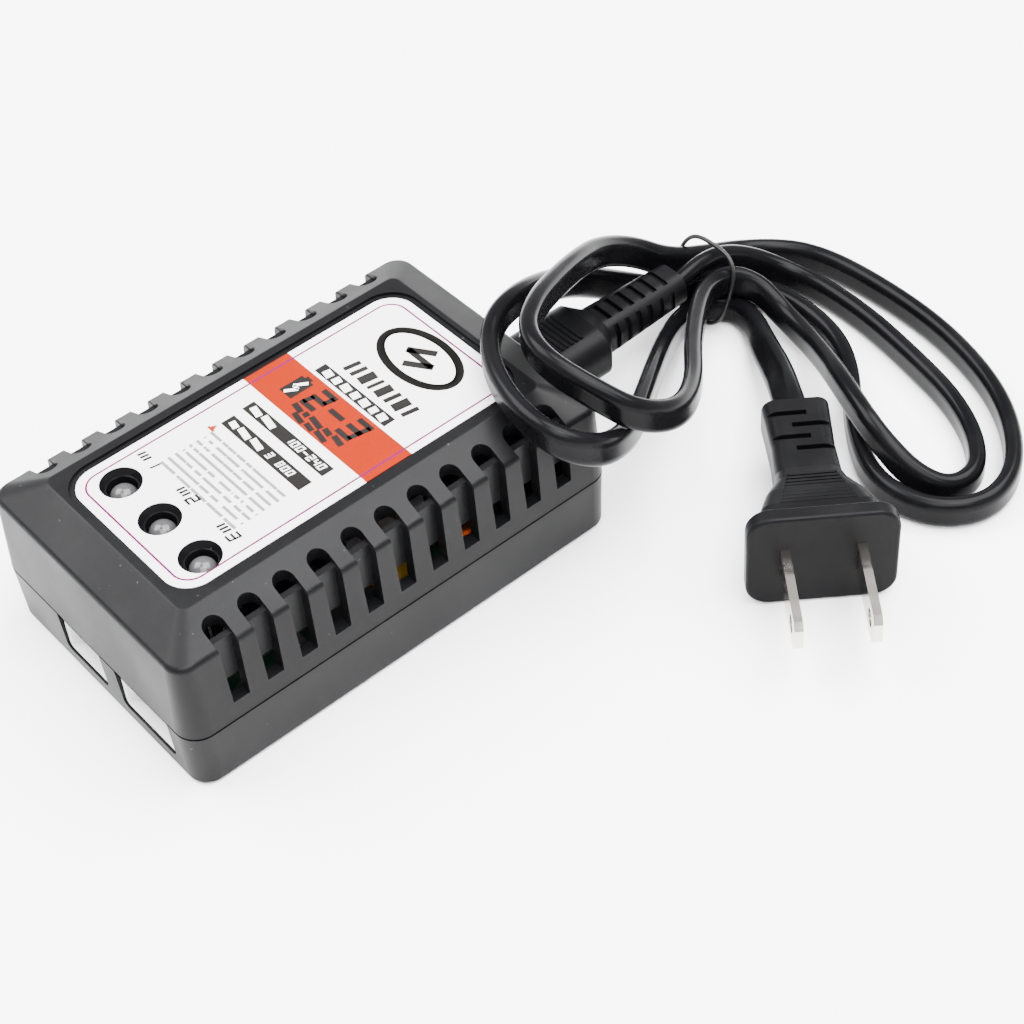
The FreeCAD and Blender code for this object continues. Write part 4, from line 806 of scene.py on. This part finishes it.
@dataclass
class LabelPrint:
    """Printed shapes on the label: generic numerals, plain blocks, a battery sign and a ring sign."""

    height: float = 30.635
    lift: float = 0.008
    slant: float = 0.18
    numeral_wide: float = 0.62
    numeral_gap: float = 2.2
    ring_steps: int = 120
    lamp_x: tuple[float, ...] = (-10.8, 0.4, 11.6)
    bars: dict[str, str] = field(default_factory=lambda: {
        "0": "abcdef", "1": "bc", "2": "abged", "3": "abgcd", "4": "fgbc", "8": "abcdefg", "-": "g",
    })
    bolt: tuple = (
        (-3.4, 26.2, 1.2, 29.2, 1.4), (-3.2, 26.4, 3.2, 26.4, 1.2), (3.4, 26.6, -1.2, 23.6, 1.4),
    )
    panel: tuple = ((-10.2, 12.9, 8.8, 12.9, 2.4),)
    battery: tuple = ((-9.0, 4.6, -9.0, 9.4, 3.2), (-9.0, 9.4, -9.0, 10.0, 1.5))
    spark: tuple = (
        (-8.3, 9.0, -9.7, 6.9, 0.7), (-9.6, 6.9, -8.4, 6.9, 0.6), (-8.4, 6.9, -9.7, 4.9, 0.7),
    )
    sign: tuple = (
        (-11.6, -9.3, -10.0, -9.3, 0.5), (-11.25, -8.85, -10.35, -8.85, 0.5), (-11.0, -8.4, -10.6, -8.4, 0.5),
    )
    inks: tuple = (
        ("dark ink", (0.008, 0.0075, 0.007)),
        ("light ink", (0.62, 0.61, 0.62)),
        ("orange ink", (0.17, 0.01, 0.001)),
    )

    def numerals(self, text: str, x: float, y: float, high: float, pen: float) -> np.ndarray:
        """Seven-bar numerals; a point moves sideways by the slant times its height in the row.

        Args:
            text: digits, hyphens and blanks.
            x: left end.
            y: foot of the row.
            high: height.
            pen: stroke width.

        Returns:
            N by 5 strokes.
        """
        wide = self.numeral_wide * high
        half = high / 2.0
        ends = {
            "a": (0.0, high, wide, high),
            "b": (wide, high, wide, half),
            "c": (wide, half, wide, 0.0),
            "d": (0.0, 0.0, wide, 0.0),
            "e": (0.0, 0.0, 0.0, half),
            "f": (0.0, half, 0.0, high),
            "g": (0.0, half, wide, half),
        }
        lines = []
        for place, sign in enumerate(text):
            left = x + place * (wide + self.numeral_gap * pen)
            for bar in self.bars.get(sign, ""):
                x0, y0, x1, y1 = ends[bar]
                grow = pen / 2.0 if y0 == y1 else 0.0
                start = left + x0 - grow + self.slant * y0
                end = left + x1 + grow + self.slant * y1
                lines.append((start, y + y0, end, y + y1, pen))
        return np.array(lines)

    def blocks(self, x: float, y: float, widths: tuple[float, ...], high: float, gap: float) -> np.ndarray:
        """Row of leaning blocks; each starts where the last one ends, plus the gap.

        Args:
            x: left end.
            y: foot of the row.
            widths: width of each block.
            high: height.
            gap: space between blocks.

        Returns:
            N by 5 strokes.
        """
        left = np.concatenate([[0.0], np.cumsum(np.array(widths[:-1]) + gap)])
        middle = x + left + np.array(widths) / 2.0
        foot = np.full(len(widths), y)
        return np.column_stack([middle, foot, middle + self.slant * high, foot + high, widths])

    def ring(self, x: float, y: float, half_x: float, half_y: float, pen: float) -> np.ndarray:
        """Oval of short strokes: half sizes times the cosine and sine, each stroke a little long.

        Args:
            x: centre.
            y: centre.
            half_x: half width.
            half_y: half height.
            pen: stroke width.

        Returns:
            N by 5 strokes.
        """
        turn = np.linspace(0.0, TURN, self.ring_steps + 1)
        edge = np.column_stack([x + half_x * np.cos(turn), y + half_y * np.sin(turn)])
        overlap = np.diff(edge, axis=0) * 0.3
        return np.column_stack([edge[:-1] - overlap, edge[1:] + overlap, np.full(self.ring_steps, pen)])

    def dark(self) -> np.ndarray:
        """Strokes printed in black.

        Returns:
            N by 5 strokes.
        """
        rows = [self.numerals(str(n), x - 0.6, -21.9, 1.9, 0.42) for n, x in enumerate(self.lamp_x, start=1)]
        rows += [self.blocks(x - 3.6, -21.7, (0.5, 0.5, 0.5), 1.5, 0.32) for x in self.lamp_x]
        rows.append(self.ring(0.0, 26.4, 8.8, 4.9, 1.5))
        rows.append(np.array(self.bolt))
        rows.append(self.blocks(-7.4, 15.4, (1.0, 1.0, 2.0, 0.8, 1.9, 1.0, 2.0, 1.0), 3.2, 0.85))
        rows.append(np.array(self.panel))
        rows.append(np.array(self.battery))
        rows.append(self.numerals("2-3", -5.4, 5.7, 4.1, 1.05))
        rows.append(self.blocks(-6.2, 3.6, (2.6, 1.2, 3.4, 2.0, 2.8), 1.1, 0.4))
        rows.append(self.blocks(-4.4, 2.2, (3.0, 2.2, 3.2), 1.0, 0.4))
        return np.concatenate(rows)

    def light(self) -> np.ndarray:
        """Strokes printed in white over the dark shapes.

        Returns:
            N by 5 strokes.
        """
        rows = [self.blocks(-8.9, 12.1, (1.8, 1.5, 2.0, 1.6, 1.9, 1.4, 1.8), 1.5, 0.75)]
        rows.append(np.array(self.spark))
        rows.append(self.blocks(-10.3, -2.05, (2.6, 3.4), 1.2, 0.5))
        rows.append(self.numerals("100-240", 0.0, -2.05, 1.25, 0.3))
        rows.append(self.blocks(-9.9, -6.55, (1.8, 3.0, 3.0), 1.15, 0.5))
        rows.append(self.numerals("3 800", 0.6, -6.55, 1.2, 0.3))
        return np.concatenate(rows)

    def build(self) -> list[bpy.types.Object]:
        """Lay both sets of strokes on the label.

        Returns:
            The dark print, the light print and the small orange sign.
        """
        sets = (
            ("print_dark", self.dark(), 0.0),
            ("print_light", self.light(), self.lift),
            ("print_sign", np.array(self.sign), 0.0),
        )
        made = []
        for name, lines, lift in sets:
            piece = Surface.mesh(name, *strokes(lines, self.height + lift))
            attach(piece, Body.CHARGER.value)
            LOG.info("%s: %d strokes", name, len(lines))
            made.append(piece)
        return made

    def dress(self, made: list[bpy.types.Object]) -> None:
        """Give each print its ink.

        Args:
            made: the pieces from build.
        """
        for piece, (name, color) in zip(made, self.inks):
            ink = Moulded(name, color, roughness=0.4, uneven=0.03, specular=0.06)
            piece.data.materials.append(ink.build())


# ------------------------------------------------------------------ CAD pieces
@dataclass
class CadPieces:
    """Finishes of the pieces shown as modelled in CAD."""

    lamp_x: tuple[float, ...] = (-10.8, 0.4, 11.6)
    lamp_y: float = -27.2

    def finishes(self) -> dict[str, bpy.types.Material]:
        """Make every finish and name the nodes that take it.

        Returns:
            Node name to material.
        """
        black = (0.003, 0.003, 0.0034)
        case = CaseFinish("case plastic", black, lamp_x=self.lamp_x, lamp_y=self.lamp_y).build()
        nylon = Moulded("nylon", (0.6, 0.6, 0.6), roughness=0.35, grain=1.5).build()
        tin = Metal("tinned metal", (0.7, 0.69, 0.66), roughness=0.3).build()
        brass = Metal("spring brass", (0.7, 0.5, 0.22), roughness=0.3).build()
        nickel = Metal("nickel plate", (0.55, 0.52, 0.48), roughness=0.14).build()
        screw = Metal("screw steel", (0.28, 0.28, 0.29), roughness=0.35).build()
        lamp = Moulded(
            "lamp epoxy",
            (0.035, 0.034, 0.036),
            roughness=0.16,
            uneven=0.03,
            grain=0.8,
            specular=0.3,
        ).build()
        moulding = Moulded(
            "lead moulding",
            (0.0022, 0.0022, 0.0026),
            roughness=0.42,
            grain=2.5,
            grain_deep=0.02,
            specular=0.05,
        ).build()
        chip = Moulded("chip epoxy", (0.02, 0.02, 0.022), roughness=0.5).build()
        board = Moulded("board mask", (0.004, 0.014, 0.008), roughness=0.4, specular=0.2).build()
        ferrite = Moulded("ferrite", (0.04, 0.04, 0.043), roughness=0.55, grain=5.0).build()
        tape = Moulded("winding tape", (0.3, 0.17, 0.012), roughness=0.3).build()
        sleeve = Moulded("can sleeve", (0.012, 0.016, 0.05), roughness=0.25).build()
        copper = Metal("enamelled wire", (0.55, 0.2, 0.07), roughness=0.3, lines=2.0).build()
        film = Moulded("film capacitor", (0.05, 0.01, 0.004), roughness=0.25).build()
        glass = Clear("fuse glass", (0.9, 0.92, 0.9), roughness=0.03).build()
        return {
            "upper_shell": case,
            "lower_shell": case,
            "case_screws": screw,
            "label": LabelFinish().build(),
            "led_1": lamp,
            "led_2": lamp,
            "led_3": lamp,
            "led_legs": tin,
            "socket_2s": nylon,
            "socket_3s": nylon,
            "contacts_2s": tin,
            "contacts_3s": tin,
            "mains_inlet": chip,
            "inlet_pins": tin,
            "circuit_board": board,
            "fuse": glass,
            "bridge_rectifier": chip,
            "film_capacitor": film,
            "line_choke": copper,
            "bulk_capacitor": sleeve,
            "transformer_core": ferrite,
            "transformer_winding": tape,
            "switching_chip": chip,
            "optocoupler": chip,
            "output_rectifier": chip,
            "output_capacitors": sleeve,
            "charge_controllers": chip,
            "balance_resistors": chip,
            "charge_transistors": chip,
            "lead_connector": moulding,
            "connector_contacts": brass,
            "plug_body": moulding,
            "plug_blades": nickel,
        }

    def dress(self) -> None:
        """Put each finish on its node."""
        for name, material in self.finishes().items():
            node = bpy.data.objects[name]
            node.data.materials.clear()
            node.data.materials.append(material)
            LOG.info("finish of %s: %s", name, material.name)


# ------------------------------------------------------------------ studio
def way_to(azimuth: float, elevation: float) -> Vector:
    """Unit vector towards a place seen from the object.

    Args:
        azimuth: degrees from -Y towards +X.
        elevation: degrees above the floor.

    Returns:
        The vector.
    """
    az, el = math.radians(azimuth), math.radians(elevation)
    return Vector((math.sin(az) * math.cos(el), -math.cos(az) * math.cos(el), math.sin(el)))


@dataclass(frozen=True)
class SoftBox:
    """One square light: side in metres, power in watts, angles in degrees."""

    name: str
    size: float
    power: float
    azimuth: float
    elevation: float


@dataclass
class Studio:
    """Pale floor, soft lights and the camera."""

    floor_size: float = 4.0
    floor_z: float = -0.0002
    boxes: tuple[SoftBox, ...] = (
        SoftBox("key_box", 0.9, 44.0, 62.0, 64.0),
        SoftBox("fill_box", 0.8, 44.0, -62.0, 52.0),
        SoftBox("top_box", 1.0, 72.0, 165.0, 66.0),
    )
    distance: float = 1.2
    aim: tuple[float, float, float] = (0.02, 0.03, 0.015)
    horizon: float = 1.7
    zenith: float = 1.0
    azimuth: float = 53.11
    elevation: float = 45.98
    roll: float = -5.01
    eye: tuple[float, float, float] = (239.286, -136.676, 290.854)
    lens: float = 80.87

    def floor(self) -> None:
        """Lay the floor: a square of the floor's size, just below the object."""
        half, z = self.floor_size / 2.0, self.floor_z
        points = np.array([(-half, -half, z), (half, -half, z), (half, half, z), (-half, half, z)])
        made = Surface.mesh("floor", points, np.array([[0, 1, 2, 3]]))
        g = Graph("floor paper")
        vector, _x, _y, _z = g.coords()
        tone = g.mix(g.noise(vector, 0.01, 1.0), (0.9, 0.9, 0.9), (0.92, 0.92, 0.92))
        made.data.materials.append(g.finish(Base_Color=tone, Roughness=0.9, Specular_IOR_Level=0.1))

    def light(self, box: SoftBox) -> None:
        """Place one soft box aimed at the object.

        Args:
            box: the light.
        """
        data = bpy.data.lights.new(box.name, "AREA")
        data.shape = "SQUARE"
        data.size = box.size
        data.energy = box.power
        made = bpy.data.objects.new(box.name, data)
        way = way_to(box.azimuth, box.elevation)
        turn = way.to_track_quat("Z", "Y").to_matrix().to_4x4()
        made.matrix_world = Matrix.Translation(Vector(self.aim) + way * self.distance) @ turn
        bpy.context.scene.collection.objects.link(made)

    def world(self) -> None:
        """Soft sky, brighter at the horizon."""
        made = bpy.data.worlds.new("studio")
        bpy.context.scene.world = made
        made.use_nodes = True
        tree = made.node_tree
        back = tree.nodes["Background"]
        source = tree.nodes.new("ShaderNodeTexCoord")
        split = tree.nodes.new("ShaderNodeSeparateXYZ")
        tree.links.new(source.outputs["Generated"], split.inputs[0])
        fall = tree.nodes.new("ShaderNodeMapRange")
        fall.interpolation_type = "SMOOTHSTEP"
        for number, entry in enumerate((0.05, 0.8, self.horizon, self.zenith), start=1):
            fall.inputs[number].default_value = entry
        tree.links.new(split.outputs[2], fall.inputs[0])
        tree.links.new(fall.outputs[0], back.inputs["Strength"])
        back.inputs["Color"].default_value = (1.0, 1.0, 1.0, 1.0)

    def camera(self) -> None:
        """Set the camera."""
        az, roll = math.radians(self.azimuth), math.radians(self.roll)
        back = way_to(self.azimuth, self.elevation)
        right = Vector((math.cos(az), math.sin(az), 0.0))
        up = back.cross(right)
        across = right * math.cos(roll) + up * math.sin(roll)
        above = up * math.cos(roll) - right * math.sin(roll)
        data = bpy.data.cameras.new("camera")
        data.lens = self.lens
        data.sensor_width = 36.0
        data.clip_start = 0.01
        made = bpy.data.objects.new("camera", data)
        turn = Matrix((across, above, back)).transposed().to_4x4()
        made.matrix_world = Matrix.Translation(Vector(self.eye) * MM) @ turn
        bpy.context.scene.collection.objects.link(made)
        bpy.context.scene.camera = made

    def build(self) -> None:
        """Lay the floor, set the sky and place the soft boxes."""
        self.floor()
        self.world()
        for box in self.boxes:
            self.light(box)


def main() -> None:
    """Build and dress every piece."""
    logging.basicConfig(level=logging.INFO)
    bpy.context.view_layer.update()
    studio = Studio()
    studio.camera()
    for part in (CordTie(), MainsCord(), SeamShadow(), LabelPrint()):
        part.dress(part.build())
    studio.build()
    CadPieces().dress()


if __name__ == "__main__":
    main()
